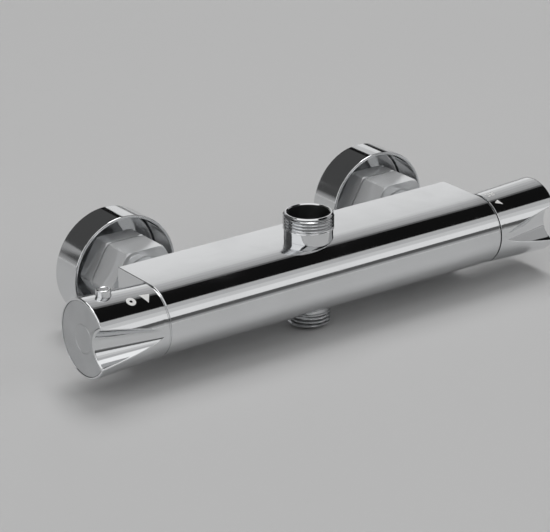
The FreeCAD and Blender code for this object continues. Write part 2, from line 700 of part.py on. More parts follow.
def make_moving_disc():
    """Its slot leads from the centre to the front, and so to either outlet after a quarter turn."""
    face = -MOVING_DISC_FACE
    disc = bar(face, -MOVING_DISC_BACK, MOVING_DISC_R)
    half = DISC_SLOT_WIDTH / 2
    reach = CHANNEL_OFFSET + DISC_PORT_R
    slot = block((face, -reach, -half), (face + DISC_SLOT_DEPTH, 0, half))
    centre = bar(face, face + DISC_SLOT_DEPTH, DISC_INLET_R)
    return disc.cut(slot.fuse(centre)).cut(disc_key(FIT))


def make_flow_spindle():
    thrust = -FLOW_CAVITY_DEPTH - FIT
    drive = bar(-MOVING_DISC_BACK, thrust, FLOW_DRIVE_R)
    stem = bar(thrust, -MOUTH_DEPTH, SPINDLE_R)
    key = disc_key(0).common(bar(-FLOW_BASE, 0, FLOW_DRIVE_R))
    return spindle_outside().fuse([stem, drive, key])


# ------------------------------------------------------------ thermostatic cartridge
def make_thermostat_sleeve():
    """Three sealing lands with a hot and a cold chamber between them, and windows into each."""
    blank = stepped(-THERMOSTAT_DEPTH, sealing_lands() + [(CHAMBER, CHAMBER_R)] + sealing_lands()
                    + [(CHAMBER, CHAMBER_R)] + sealing_lands()
                    + [(MOUTH_DEPTH + CARTRIDGE_NECK_OUT, CARTRIDGE_NECK_R)])
    neck = bar(-THERMOSTAT_NECK_DEPTH, CARTRIDGE_NECK_OUT, SPINDLE_R + RUNNING_FIT)
    bore = bar(-THERMOSTAT_DEPTH, -THERMOSTAT_NECK_DEPTH, THERMOSTAT_BORE_R)
    tools = [neck, bore]
    half = WINDOW / 2
    for depth in (COLD_WINDOW, HOT_WINDOW):
        window = block((-depth - half, -half, 0), (half - depth, half, CARTRIDGE_R))
        tools += round_about(window, WINDOWS)
    return cut_all(blank, tools)


def make_thermostat_filters():
    """A slotted screen sleeve round each chamber."""
    filters = []
    half = FILTER_SLOT_WIDTH / 2
    for start in (COLD_CHAMBER_START, HOT_CHAMBER_START):
        low = -start - CHAMBER
        screen = tube(low, -start, CHAMBER_R + FIT, CHAMBER_R + FIT + FILTER_WALL)
        slot = block((low + GROOVE, -half, 0), (-start - GROOVE, half, CARTRIDGE_BORE_R))
        filters.append(solid_of(cut_all(screen, round_about(slot, FILTER_SLOTS))))
    return Part.makeCompound(filters)


def make_thermostat_seals():
    starts = (MOUTH_DEPTH, COLD_CHAMBER_START + CHAMBER, HOT_CHAMBER_START + CHAMBER)
    return Part.makeCompound([seal_in_groove(start + LAND) for start in starts])


def make_temperature_spindle():
    """Thrust flange and adjusting thread inside, shaft and drive outside."""
    flange_end = -THERMOSTAT_NECK_DEPTH - FIT
    flange_start = flange_end - THRUST_FLANGE
    flange = bar(flange_start, flange_end, THRUST_FLANGE_R)
    shaft = bar(flange_end, -MOUTH_DEPTH, SPINDLE_R)
    thread = bar(flange_start - ADJUSTING_THREAD_LENGTH, flange_start, ADJUSTING_THREAD_R)
    return spindle_outside().fuse([shaft, flange, thread])


def carrier_start():
    """Depth of the carrier's outer face inside the body, at rest."""
    return THERMOSTAT_NECK_DEPTH + FIT + THRUST_FLANGE + CARRIER_GAP


def make_carrier():
    """The nut that the spindle's thread moves in and out."""
    outer = -carrier_start()
    inner = outer - CARRIER_LENGTH
    blank = bar(inner, outer, CARRIER_R)
    cup = bar(inner, inner + CARRIER_CUP_DEPTH, CARRIER_CUP_R)
    return blank.cut(cup).cut(bar(inner, outer, ADJUSTING_THREAD_R + RUNNING_FIT))


def overload_spring_end():
    return carrier_start() + CARRIER_LENGTH - CARRIER_CUP_DEPTH + OVERLOAD_SPRING


def make_overload_spring():
    end = overload_spring_end()
    return tube(
        -end, OVERLOAD_SPRING - end, OVERLOAD_SPRING_R - OVERLOAD_SPRING_WALL, OVERLOAD_SPRING_R)


def make_wax_element():
    """Head, body and push rod of the element that senses the mixed water."""
    head_top = -overload_spring_end()
    return stepped(head_top - WAX_HEAD - WAX_BODY_LENGTH, [
        (WAX_BODY_LENGTH, WAX_BODY_R), (WAX_HEAD, WAX_HEAD_R), (WAX_ROD_LENGTH, WAX_ROD_R)])


def shuttle_outer_radius():
    return THERMOSTAT_BORE_R - RUNNING_FIT


def shuttle_seal_start():
    return overload_spring_end() + WAX_HEAD


def make_shuttle():
    """The sleeve whose two edges open one water supply as they close the other."""
    cold_edge = -(COLD_WINDOW + WINDOW / 2 + SHUTTLE_EDGE_GAP)
    hot_edge = -(HOT_WINDOW - WINDOW / 2 - SHUTTLE_EDGE_GAP)
    outer = shuttle_outer_radius()
    web_top = -overload_spring_end() - WAX_HEAD
    sleeve = tube(hot_edge, cold_edge, outer - SHUTTLE_WALL, outer)
    web = tube(web_top - SHUTTLE_WEB, web_top, WAX_BODY_R + FIT, outer - SHUTTLE_WALL)
    seal_start = -shuttle_seal_start() - SHUTTLE_SEAL_LENGTH
    groove = tube(
        seal_start, seal_start + SHUTTLE_SEAL_LENGTH, outer - SHUTTLE_SEAL_DEPTH, outer + FIT)
    return sleeve.fuse(web).cut(groove)


def make_shuttle_seal():
    outer = shuttle_outer_radius()
    end = -shuttle_seal_start()
    return tube(
        end - SHUTTLE_SEAL_LENGTH, end, outer - SHUTTLE_SEAL_DEPTH + FIT / 2,
        outer + RUNNING_FIT / 2)


def make_base_ring():
    """The ring pressed into the sleeve's inner end that the return spring bears on."""
    return tube(
        -THERMOSTAT_DEPTH, BASE_RING - THERMOSTAT_DEPTH, BASE_RING_BORE_R, THERMOSTAT_BORE_R - FIT)


def make_return_spring():
    top = -overload_spring_end() - WAX_HEAD - SHUTTLE_WEB
    return tube(
        BASE_RING - THERMOSTAT_DEPTH, top, RETURN_SPRING_R - RETURN_SPRING_WALL, RETURN_SPRING_R)


# ------------------------------------------------------------ handles
def handle_radius(along):
    """Outside radius of the flared handle, this far from the body's end."""
    share = along / HANDLE_LENGTH
    return BODY_R + (HANDLE_END_R - BODY_R) * share


def scoop_cutter(extra):
    """The tilted, tapered bar that hollows the thumb scoop, made thicker by an extra radius."""
    run = HANDLE_LENGTH - SCOOP_START
    fall = handle_radius(SCOOP_START) - SCOOP_FLOOR
    floor_slope = math.atan(fall / run)
    tilt = math.atan((fall + SCOOP_START_R - SCOOP_END_R) / run)
    flare = floor_slope - tilt
    radius = (SCOOP_END_R * math.cos(floor_slope) + extra) / math.cos(flare)
    centre = point(HANDLE_LENGTH, -(SCOOP_FLOOR + SCOOP_END_R), 0)
    way = point(math.cos(tilt), math.sin(tilt), 0)
    widening = HANDLE_LENGTH * math.tan(flare)
    return Part.makeCone(
        radius - widening, radius + widening, 2 * HANDLE_LENGTH, centre - way * HANDLE_LENGTH, way)


def crown_inside(along):
    """Inside radius of the handle's wall, this far from the body's end."""
    return handle_radius(along) - HANDLE_WALL


def make_handle_shell():
    """Flared round grip with one thumb scoop: open at the seam, a web and a recess at the end."""
    blank = turned([
        (HANDLE_START, 0), (HANDLE_START, handle_radius(HANDLE_START)),
        (HANDLE_LENGTH - HANDLE_RIM, handle_radius(HANDLE_LENGTH - HANDLE_RIM)),
        (HANDLE_LENGTH, HANDLE_END_R - HANDLE_RIM), (HANDLE_LENGTH, 0)])
    blank = blank.cut(scoop_cutter(0))
    hollow = cone(HANDLE_START, crown_inside(HANDLE_START), WEB_START, crown_inside(WEB_START))
    hollow = hollow.cut(scoop_cutter(SCOOP_WALL))
    hollow = hollow.cut(bar(BOSS_START, WEB_START, BOSS_R))
    tools = [
        hollow,
        hexagon(HANDLE_START, SOCKET_END, ADAPTOR_HEX + 2 * FIT),
        bar(HANDLE_START, HANDLE_LENGTH, SCREW_R + 2 * FIT),
        bar(SCREW_SEAT, HANDLE_LENGTH, SCREW_HEAD_R + 2 * FIT),
        cap_plate(CAP_FLOOR, HANDLE_LENGTH, 0)]
    return cut_all(blank, tools)


def cap_plate(start, end, gap):
    """A plate with the handle's scalloped outline, inside its lip by a gap."""
    plate = bar(start, end, HANDLE_END_R - CAP_LIP - gap)
    return plate.cut(scoop_cutter(CAP_LIP + gap))


def make_end_cap():
    face = HANDLE_LENGTH - CAP_SETBACK
    groove = tube(
        face - CAP_RING_DEPTH, face, CAP_RING_R - CAP_RING_WIDTH, CAP_RING_R)
    return cap_plate(CAP_FLOOR, face, CAP_GAP).cut(groove)


# ------------------------------------------------------------ flow stop button
def upright(start, end, radius):
    """A round bar standing at the button's place, between two heights over the bar's axis."""
    return Part.makeCylinder(radius, end - start, point(BUTTON_OUT, 0, start), point(0, 0, 1))


def button_flange_top():
    return crown_inside(BUTTON_OUT) - BUTTON_FLANGE_DEPTH


def button_seat():
    return BOSS_R - BUTTON_SEAT_DEPTH


def make_button():
    """A round-edged button with a flange that keeps it in the handle and a spring spigot."""
    top = handle_radius(BUTTON_OUT) + BUTTON_HEIGHT
    flange_top = button_flange_top()
    flange_bottom = flange_top - BUTTON_FLANGE
    head = upright(flange_top, top, BUTTON_R)
    rim = [edge for edge in head.Edges if edge.CenterOfMass.z > top - FIT]
    head = head.makeFillet(BUTTON_ROUND, rim)
    flange = upright(flange_bottom, flange_top, BUTTON_FLANGE_R)
    spigot = upright(flange_bottom - BUTTON_SPIGOT, flange_bottom, BUTTON_SPIGOT_R)
    return head.fuse([flange, spigot])


def make_button_spring():
    end = button_flange_top() - BUTTON_FLANGE
    outer = upright(button_seat(), end, BUTTON_SPRING_R)
    return outer.cut(upright(button_seat(), end, BUTTON_SPRING_R - SPRING_WALL))


def make_flow_handle():
    """The left handle: the common shell with a hole for the button and a seat for its spring."""
    hole = upright(button_flange_top(), HANDLE_END_R + BUTTON_HEIGHT, BUTTON_R + RUNNING_FIT)
    seat = upright(button_seat(), BOSS_R + FIT, BUTTON_SPRING_R + FIT)
    return make_handle_shell().cut(hole).cut(seat)


# ------------------------------------------------------------ all the pieces
LEFT = -1
RIGHT = 1


def build():
    pieces = {
        "valve_body": make_body(),
        "riser_nipple": at_outlet(
            make_nipple(RISER_R, RISER_BORE_R, RISER_HEIGHT, RISER_THREAD), 1),
        "riser_nipple_seal": at_outlet(make_nipple_seal(RISER_R, RISER_BORE_R), 1),
        "hose_nipple": at_outlet(
            make_nipple(HOSE_R, HOSE_BORE_R, HOSE_HEIGHT, HOSE_THREAD), -1),
        "hose_nipple_seal": at_outlet(make_nipple_seal(HOSE_R, HOSE_BORE_R), -1)}

    inlet_pieces = {
        "wall_connector": make_connector, "wall_flange": make_flange,
        "union_nut": make_union_nut, "union_washer": make_union_washer,
        "inlet_tail": make_inlet_tail, "inlet_strainer": make_strainer,
        "check_valve_housing": make_check_housing, "check_valve_poppet": make_poppet,
        "check_valve_spring": make_check_spring}
    for word, side in (("left", LEFT), ("right", RIGHT)):
        for name, maker in inlet_pieces.items():
            pieces[name + "_" + word] = at_inlet(maker(), side)

    flow_pieces = {
        "flow_seam_ring": make_seam_ring(), "flow_gland_nut": make_gland(),
        "flow_stop_ring": make_stop_ring(FLOW_TURN, FLOW_TURN),
        "flow_cartridge_housing": make_flow_housing(),
        "flow_cartridge_seal": seal_in_groove(MOUTH_DEPTH + LAND),
        "flow_base_seal": make_flow_base_seal(), "fixed_disc": make_fixed_disc(),
        "moving_disc": make_moving_disc(), "flow_spindle": make_flow_spindle(),
        "flow_spindle_seal": make_spindle_seal(), "flow_adaptor": make_adaptor(),
        "flow_handle": make_flow_handle(), "flow_handle_screw": make_handle_screw(),
        "flow_end_cap": make_end_cap(), "flow_button": make_button(),
        "flow_button_spring": make_button_spring()}
    for name, shape in flow_pieces.items():
        pieces[name] = at_end(shape, LEFT)

    temperature_pieces = {
        "temperature_seam_ring": make_seam_ring(), "temperature_gland_nut": make_gland(),
        "temperature_stop_ring": make_stop_ring(COLD_TURN, HOT_TURN),
        "thermostat_sleeve": make_thermostat_sleeve(),
        "thermostat_seals": make_thermostat_seals(),
        "thermostat_filters": make_thermostat_filters(),
        "thermostat_base_ring": make_base_ring(),
        "thermostat_return_spring": make_return_spring(),
        "thermostat_shuttle": make_shuttle(), "thermostat_shuttle_seal": make_shuttle_seal(),
        "wax_element": make_wax_element(), "overload_spring": make_overload_spring(),
        "temperature_carrier": make_carrier(), "temperature_spindle": make_temperature_spindle(),
        "temperature_spindle_seal": make_spindle_seal(), "temperature_adaptor": make_adaptor(),
        "temperature_handle": make_handle_shell(),
        "temperature_handle_screw": make_handle_screw(), "temperature_end_cap": make_end_cap()}
    for name, shape in temperature_pieces.items():
        pieces[name] = at_end(shape, RIGHT)
    return pieces


os.makedirs("parts", exist_ok=True)
for name, shape in build().items():
    piece = solid_of(shape)
    piece.exportStep("parts/" + name + ".step")
    print(name, len(piece.Solids), "valid" if piece.isValid() else "NOT VALID", round(piece.Volume, 1))
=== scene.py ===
import json
import math

import bmesh
import bpy
from bpy.props import FloatProperty, FloatVectorProperty, IntProperty, PointerProperty, StringProperty
from mathutils import Matrix, Vector


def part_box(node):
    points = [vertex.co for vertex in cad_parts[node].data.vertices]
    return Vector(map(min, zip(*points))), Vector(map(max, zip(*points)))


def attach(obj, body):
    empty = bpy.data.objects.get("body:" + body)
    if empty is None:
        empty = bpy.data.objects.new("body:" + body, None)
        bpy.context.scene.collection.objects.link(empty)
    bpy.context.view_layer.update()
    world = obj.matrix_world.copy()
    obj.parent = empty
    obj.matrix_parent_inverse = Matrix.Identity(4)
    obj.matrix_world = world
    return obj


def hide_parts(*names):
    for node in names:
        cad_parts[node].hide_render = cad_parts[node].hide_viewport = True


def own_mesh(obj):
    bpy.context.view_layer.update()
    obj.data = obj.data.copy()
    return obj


bl_info = {
    "name": "Bar shower valve",
    "version": (1, 0, 0),
    "blender": (4, 5, 0),
    "location": "3D View > Sidebar > Shower valve",
    "description": "Dresses a wall-mounted bar shower valve: plated body, handles, outlets and unions",
    "category": "Object",
}

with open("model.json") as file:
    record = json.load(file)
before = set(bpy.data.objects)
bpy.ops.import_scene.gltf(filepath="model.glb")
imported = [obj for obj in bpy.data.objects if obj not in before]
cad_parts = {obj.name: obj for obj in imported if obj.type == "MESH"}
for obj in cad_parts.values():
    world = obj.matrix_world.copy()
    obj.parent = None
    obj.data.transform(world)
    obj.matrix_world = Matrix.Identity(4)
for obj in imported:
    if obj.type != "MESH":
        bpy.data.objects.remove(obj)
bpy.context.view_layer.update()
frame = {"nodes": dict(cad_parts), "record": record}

MM = 0.001
UPRIGHT = math.pi / 2


# ------------------------------------------------------------ places, read from the frame
class Span:
    """The box of a node, with its middle and its size along each axis."""

    def __init__(self, node):
        self.low, self.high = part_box(node)
        self.middle = (self.low + self.high) / 2
        self.size = self.high - self.low


BODY = Span("valve_body")
BAR_END = BODY.high.x
BAR_R = BODY.size.z / 2
BAR_Y = BODY.low.y + BAR_R
BAR_Z = BODY.middle.z
BAR_MIDDLE = Vector((0, BAR_Y, BAR_Z))
BODY_BACK = BODY.high.y - BAR_Y
HANDLE = Span("temperature_handle")
HANDLE_START = HANDLE.low.x - BAR_END
HANDLE_END = HANDLE.high.x - BAR_END
HANDLE_WIDEST = HANDLE.size.z / 2
CAP = Span("temperature_end_cap")
BUTTON = Span("flow_button")
FLANGE = Span("wall_flange_left")
NUT = Span("union_nut_left")
CONNECTOR = Span("wall_connector_left")
TAIL = Span("inlet_tail_left")
RISER = Span("riser_nipple")
HOSE = Span("hose_nipple")
SUPPLY_X = FLANGE.middle.x
SIDES = (("left", -1), ("right", 1))


def at_end(side):
    """From a handle's own axes, drawn outwards from the bar's end, to the row's."""
    return Matrix.Translation((side * BAR_END, BAR_Y, BAR_Z)) @ Matrix.Diagonal((side, 1, 1, 1))


def at_supply(x):
    """From axes drawn outwards from the wall to the row's."""
    return Matrix.Translation((x, 0, 0)) @ Matrix.Rotation(-UPRIGHT, 4, "Z")


def at_outlet(up):
    """From axes drawn away from the bar, up or down, to the row's."""
    return Matrix.Translation((RISER.middle.x, RISER.middle.y, BAR_Z)) @ Matrix.Rotation(-up * UPRIGHT, 4, "Y")


# ------------------------------------------------------------ sizes and colours a user would change
def length(name, description, default):
    return FloatProperty(name=name, description=description, default=default, min=0, unit="LENGTH", precision=5)


def colour(name, description, default):
    return FloatVectorProperty(
        name=name, description=description, default=default, subtype="COLOR", size=3, min=0, max=1)


def share(name, description, default):
    return FloatProperty(name=name, description=description, default=default, min=0, max=1, subtype="FACTOR")


class BodySizes(bpy.types.PropertyGroup):
    edge: length("Edge round", "Round of the body's two end edges", 0.3 * MM)
    back_edge: length("Back edge round", "Round of the two long back edges", 0.6 * MM)
    mouth_r: length("Mouth radius", "Threaded mouth at each end", 14.5 * MM)
    mouth_depth: length("Mouth depth", "Depth of each mouth", 8 * MM)
    bore_r: length("Bore radius", "Bore of each cartridge", 12.5 * MM)
    flow_depth: length("Flow bore depth", "From the left end to the bore's floor", 34 * MM)
    thermostat_depth: length("Thermostat bore depth", "From the right end to the bore's floor", 54.5 * MM)
    passage_r: length("Passage radius", "Mixed water passage between the bores", 4.5 * MM)


class HandleSizes(bpy.types.PropertyGroup):
    wall: length("Wall", "Thickness of the grip's wall", 2.2 * MM)
    rim: length("Rim round", "Round of the outer rim", 0.5 * MM)
    lip: length("Lip", "Width of the lip round the end cap", 1.1 * MM)
    scoop_start: length("Scoop start", "Where the scoop runs out, from the body's end", 3.6 * MM)
    scoop_start_r: length("Scoop start radius", "Round across the scoop where it runs out", 4.7 * MM)
    scoop_end_r: length("Scoop end radius", "Round across the scoop at the outer end", 9.7 * MM)
    scoop_floor: length("Scoop floor", "From the axis to the scoop's floor at the outer end", 8.7 * MM)
    scoop_edge: length("Scoop edge", "Round of the scoop's two edges", 0.45 * MM)
    cap_gap: length("Cap gap", "Gap round the end cap", 0.2 * MM)
    cap_ring_r: length("Cap ring radius", "Ring turned in the cap's face", 6.8 * MM)


class UnionSizes(bpy.types.PropertyGroup):
    hexagon_length: length("Hexagon length", "Length of the connector's hexagon", 9.6 * MM)
    corner_cut: length("Corner cut", "How far each hexagon's corners are turned back", 0.9 * MM)
    flange_wall: length("Flange wall", "Thickness of the flange cup", 1.5 * MM)
    flange_edge: length("Flange edge", "Round of the flange cup's rim", 0.5 * MM)
    supply_r: length("Supply thread", "Radius of the G 1/2 supply thread", 10.4775 * MM)
    nose_r: length("Union thread", "Radius of the G 3/4 union thread", 13.2205 * MM)
    supply_pitch: length("Thread pitch", "Pitch of the G 1/2 and G 3/4 threads", 1.814 * MM)


class OutletSizes(bpy.types.PropertyGroup):
    riser_pitch: length("Riser pitch", "Pitch of the upper outlet's thread", 1.5 * MM)
    riser_thread: length("Riser thread", "Threaded length of the upper outlet", 7.7 * MM)
    hose_pitch: length("Hose pitch", "Pitch of the lower outlet's thread", 1.814 * MM)
    hose_thread: length("Hose thread", "Threaded length of the lower outlet", 6.5 * MM)
    rim: length("Rim chamfer", "Chamfer of each outlet's rim", 1.0 * MM)
    neck_step: length("Neck step", "How far each neck is turned below its thread", 0.5 * MM)


class MarkSizes(bpy.types.PropertyGroup):
    boldness: length("Boldness", "Widening of the number's strokes on each side", 0.13 * MM)
    height: length("Mark height", "Height of the numerals on the temperature handle", 4.6 * MM)
    proud: length("Proud", "How far a mark stands off its handle", 0.04 * MM)
    ring_r: length("Ring radius", "Radius of the ring mark on the flow handle", 2.3 * MM)
    ring_hole: share("Ring hole", "Hole of the ring mark as a share of its radius", 0.32)
    arrow: length("Arrow side", "Side of the arrow mark on the flow handle", 5.2 * MM)
    pointer: length("Pointer side", "Side of the pointer on the temperature handle", 4.0 * MM)
    temperature: StringProperty(
        name="Temperature", description="Plain number beside the stop position", default="38")


class FinishColours(bpy.types.PropertyGroup):
    chrome: colour("Chrome", "Polished chrome plate", (0.80, 0.81, 0.82))
    turned: colour("Turned chrome", "Chrome plate on turned brass", (0.78, 0.79, 0.80))
    pressed: colour("Pressed chrome", "Chrome plate on the flange cups", (0.76, 0.77, 0.78))
    satin: colour("Satin chrome", "Satin chrome of the end caps", (0.60, 0.61, 0.62))
    brass: colour("Brass", "Bare turned brass inside the valve", (0.80, 0.62, 0.30))
    copper: colour("Copper", "Wax element", (0.78, 0.47, 0.30))
    steel: colour("Stainless steel", "Springs, screws and screens", (0.66, 0.67, 0.68))
    ceramic: colour("Ceramic", "Lapped discs", (0.90, 0.89, 0.86))
    plastic: colour("Plastic", "Moulded inner pieces", (0.88, 0.88, 0.86))
    rubber: colour("Rubber", "Seals", (0.05, 0.05, 0.05))
    fibre: colour("Fibre", "Union washers", (0.55, 0.24, 0.16))
    enamel: colour("Mark enamel", "Filled marks on the handles", (0.86, 0.86, 0.85))


class StageSizes(bpy.types.PropertyGroup):
    floor_drop: length("Floor drop", "Gap between the floor and the flanges", 0.3 * MM)
    floor_size: length("Floor size", "Side of the floor", 12.0)
    pale: colour("Pale ground", "Floor and backdrop", (0.60, 0.60, 0.60))
    horizon: colour("Horizon", "Far floor and the foot of the backdrop", (0.44, 0.44, 0.44))
    room: share("Room light", "Strength of the light from all round", 0.006)


GROUPS = {
    "valve_body_sizes": BodySizes, "valve_handle_sizes": HandleSizes, "valve_union_sizes": UnionSizes,
    "valve_outlet_sizes": OutletSizes, "valve_mark_sizes": MarkSizes, "valve_colours": FinishColours,
    "valve_stage_sizes": StageSizes}


def sizes(kind):
    return getattr(bpy.context.scene, "valve_" + kind)


# soft boxes along the bar: degrees from the front up over the top, and the glow of each strip
WINDOW_STRIPS = (
    ((103, 109), 0.12), ((109, 117), 0.33), ((117, 129), 0.40), ((129, 141), 0.48), ((141, 154), 0.60),
    ((154, 172), 0.78))
FRONT_STRIPS = (((2, 17), 0.09), ((17, 33), 0.80), ((33, 44), 0.60), ((44, 57), 0.47))


# ------------------------------------------------------------ shader expressions
class Field:
    """A shader socket that takes part in plain sums."""

    def __init__(self, finish, socket):
        self.finish = finish
        self.socket = socket

    def __add__(self, other):
        return self.finish.maths("ADD", self, other)

    def __sub__(self, other):
        return self.finish.maths("SUBTRACT", self, other)

    def __mul__(self, other):
        return self.finish.maths("MULTIPLY", self, other)

    def __truediv__(self, other):
        return self.finish.maths("DIVIDE", self, other)

    def __radd__(self, other):
        return self.finish.maths("ADD", other, self)

    def __rsub__(self, other):
        return self.finish.maths("SUBTRACT", other, self)

    def __rmul__(self, other):
        return self.finish.maths("MULTIPLY", other, self)

    def __pow__(self, other):
        return self.finish.maths("POWER", self, other)


class Finish:
    """A material whose nodes are added one by one."""

    def __init__(self, name, family="materials", shader="Principled BSDF", place="Object"):
        self.material = getattr(bpy.data, family).new(name)
        self.material.use_nodes = True
        self.tree = self.material.node_tree
        self.shader = self.tree.nodes[shader]
        self.place = self.node("ShaderNodeTexCoord").outputs[place]

    def node(self, kind, settings=None, **values):
        """A node of that kind, with its settings first and then the values or links of its sockets."""
        made = self.tree.nodes.new(kind)
        for key, value in (settings or {}).items():
            setattr(made, key, value)
        for key, value in values.items():
            self.feed(made.inputs[key.replace("_", " ")], value)
        return made

    def feed(self, socket, value):
        if isinstance(value, Field):
            value = value.socket
        if isinstance(value, bpy.types.NodeSocket):
            self.tree.links.new(value, socket)
        else:
            socket.default_value = value

    def maths(self, operation, first, second):
        made = self.tree.nodes.new("ShaderNodeMath")
        made.operation = operation
        self.feed(made.inputs[0], first)
        self.feed(made.inputs[1], second)
        return Field(self, made.outputs[0])

    def parts(self):
        """The three coordinates of the place."""
        made = self.node("ShaderNodeSeparateXYZ", Vector=self.place)
        return [Field(self, socket) for socket in made.outputs]

    def seen(self):
        """What the camera sees straight, and what it sees in metal and clear pieces, each 0 or 1."""
        made = self.node("ShaderNodeLightPath")
        straight, glossy, clear = [
            Field(self, made.outputs["Is " + kind + " Ray"]) for kind in ("Camera", "Glossy", "Transmission")]
        return straight, self.maths("MAXIMUM", glossy, clear)

    def noise(self, scale, detail=3.0, stretch=(1, 1, 1)):
        """Soft noise, with its grain drawn out along an axis by a small stretch."""
        spread = self.node("ShaderNodeMapping", Vector=self.place, Scale=stretch)
        made = self.node(
            "ShaderNodeTexNoise", Vector=spread.outputs[0], Scale=scale, Detail=detail)
        return Field(self, made.outputs["Fac"])

    def steps(self, field, low, high):
        """The field spread over 0 to 1 between two of its values."""
        made = self.node("ShaderNodeMapRange", {"clamp": True})
        self.feed(made.inputs["Value"], field)
        made.inputs["From Min"].default_value = low
        made.inputs["From Max"].default_value = high
        return Field(self, made.outputs["Result"])

    def tint(self, field, first, second):
        """One colour where the field is 0 and another where it is 1."""
        made = self.node("ShaderNodeMix", {"data_type": "RGBA"})
        self.feed(made.inputs["Factor"], field)
        self.feed(made.inputs[6], (*first, 1))
        self.feed(made.inputs[7], (*second, 1))
        return made.outputs[2]

    def relief(self, height, distance, strength=1.0):
        """Bumps of that height, in metres where the field is 1."""
        made = self.node("ShaderNodeBump", Strength=strength, Distance=distance, Height=height)
        return made.outputs["Normal"]

    def paint(self, base, roughness, metallic=1.0, normal=None, coat=0.0):
        self.feed(self.shader.inputs["Base Color"], base)
        self.feed(self.shader.inputs["Roughness"], roughness)
        self.feed(self.shader.inputs["Metallic"], metallic)
        self.shader.inputs["Coat Weight"].default_value = coat
        if normal is not None:
            self.feed(self.shader.inputs["Normal"], normal)
        return self.material


def dimmed(tone, factor):
    return tuple(part * factor for part in tone)


def polished_chrome(name, tone, along, smooth=0.045, metallic=1.0):
    """Mirror plate with faint polishing lines along an axis, dull breath marks and a soft ripple."""
    finish = Finish(name)
    stretch = [1.0, 1.0, 1.0]
    stretch["XYZ".index(along)] = 0.03
    lines = finish.noise(2600, 2, stretch)
    breath = finish.steps(finish.noise(38, 4), 0.45, 0.75)
    ripple = finish.noise(70, 1)
    base = finish.tint(breath * 0.6 + lines * 0.3, tone, dimmed(tone, 0.93))
    rough = smooth + breath * 0.05 + lines * 0.025
    normal = finish.relief(ripple * 0.8 + lines * 0.05, 0.012 * MM)
    return finish.paint(base, rough, metallic, normal)


def thread_chrome(name, tone, outlet):
    """Plate on a threaded outlet, dull where the thread is deep and in the bore, and darkened there by painted
    shade.
    """
    finish = Finish(name)
    crest = outlet.size.x / 2
    end = max(outlet.high.z - BAR_Z, BAR_Z - outlet.low.z)
    lines = finish.noise(2600, 2, (1, 1, 0.03))
    breath = finish.steps(finish.noise(38, 4), 0.45, 0.75)
    east, north, up = finish.parts()
    east = east - outlet.middle.x
    north = north - outlet.middle.y
    height = finish.maths("ABSOLUTE", up - BAR_Z, 0)
    # painted shade: this mask is 1 in the thread's roots and down the bore, and 0 on the crests and at the rim
    deep = 1 - finish.steps((east * east + north * north) ** 0.5, crest - 1.0 * MM, crest - 0.5 * MM)
    deep = deep * (1 - finish.steps(height, end - 0.6 * MM, end - 0.3 * MM))
    # painted shade in the thread's roots and the bore: the base colour falls to 0.12 of the tone there
    base = finish.tint(deep * 0.85 + breath * 0.1, tone, dimmed(tone, 0.12))
    rough = 0.07 + breath * 0.05 + lines * 0.025 + deep * 0.25
    return finish.paint(base, rough, 1.0, finish.relief(lines * 0.1 + breath * 0.4, 0.006 * MM))


def cup_chrome(name, tone):
    """Mirror plate outside the flange cups and a dull pale finish inside them."""
    finish = Finish(name)
    lines = finish.noise(2600, 2, (1, 0.03, 1))
    breath = finish.steps(finish.noise(38, 4), 0.45, 0.75)
    east, _, up = finish.parts()
    east = finish.maths("ABSOLUTE", east, 0) - SUPPLY_X
    radius = (east * east + up * up) ** 0.5
    outer = FLANGE.size.z / 2
    outside = finish.steps(radius, outer - 1.4 * MM, outer - 0.7 * MM)
    base = finish.tint(breath * 0.6 + lines * 0.3, tone, dimmed(tone, 0.93))
    rough = 0.50 - 0.44 * outside + breath * 0.05 + lines * 0.025
    normal = finish.relief(lines * 0.1 + breath * 0.4, 0.006 * MM)
    return finish.paint(base, rough, 0.15 + outside * 0.85, normal)


def turned_metal(name, tone, centre, across, pitch, smooth, depth=0.004):
    """Turned metal: fine rings about an axis through a centre, on plate or bare."""
    finish = Finish(name)
    moved = finish.node(
        "ShaderNodeVectorMath", {"operation": "SUBTRACT"}).outputs[0]
    owner = moved.node
    finish.feed(owner.inputs[0], finish.place)
    owner.inputs[1].default_value = centre
    flat = finish.node("ShaderNodeVectorMath", {"operation": "MULTIPLY"})
    finish.feed(flat.inputs[0], moved)
    flat.inputs[1].default_value = across
    radius = finish.node("ShaderNodeVectorMath", {"operation": "LENGTH"})
    finish.feed(radius.inputs[0], flat.outputs[0])
    rings = finish.node("ShaderNodeMath", {"operation": "SINE"})
    finish.feed(rings.inputs[0], Field(finish, radius.outputs["Value"]) * (math.tau / pitch))
    cloud = finish.noise(160, 4)
    rings = Field(finish, rings.outputs[0]) * 0.5 + 0.5
    base = finish.tint(cloud * 0.7 + rings * 0.2, tone, dimmed(tone, 0.85))
    rough = smooth + cloud * 0.12 + rings * 0.03
    return finish.paint(base, rough, 1.0, finish.relief(rings + cloud, depth * MM))


def satin_chrome(name, tone):
    """Fine blasted plate with a slight cloudiness."""
    finish = Finish(name)
    grain = finish.noise(5200, 2)
    cloud = finish.noise(90, 4)
    base = finish.tint(cloud, dimmed(tone, 1.06), dimmed(tone, 0.86))
    rough = 0.30 + grain * 0.12 + cloud * 0.10
    return finish.paint(base, rough, 1.0, finish.relief(grain, 0.006 * MM))


def moulded(name, tone, smooth, grain=900, coat=0.0):
    """Moulded plastic, rubber, fibre or ceramic: mottled, with a fine skin."""
    finish = Finish(name)
    cloud = finish.noise(120, 4)
    skin = finish.noise(grain, 3)
    base = finish.tint(cloud * 0.6 + skin * 0.4, dimmed(tone, 1.04), dimmed(tone, 0.88))
    rough = smooth + skin * 0.15
    return finish.paint(base, rough, 0.0, finish.relief(skin, 0.01 * MM), coat)


FINISHES = {}


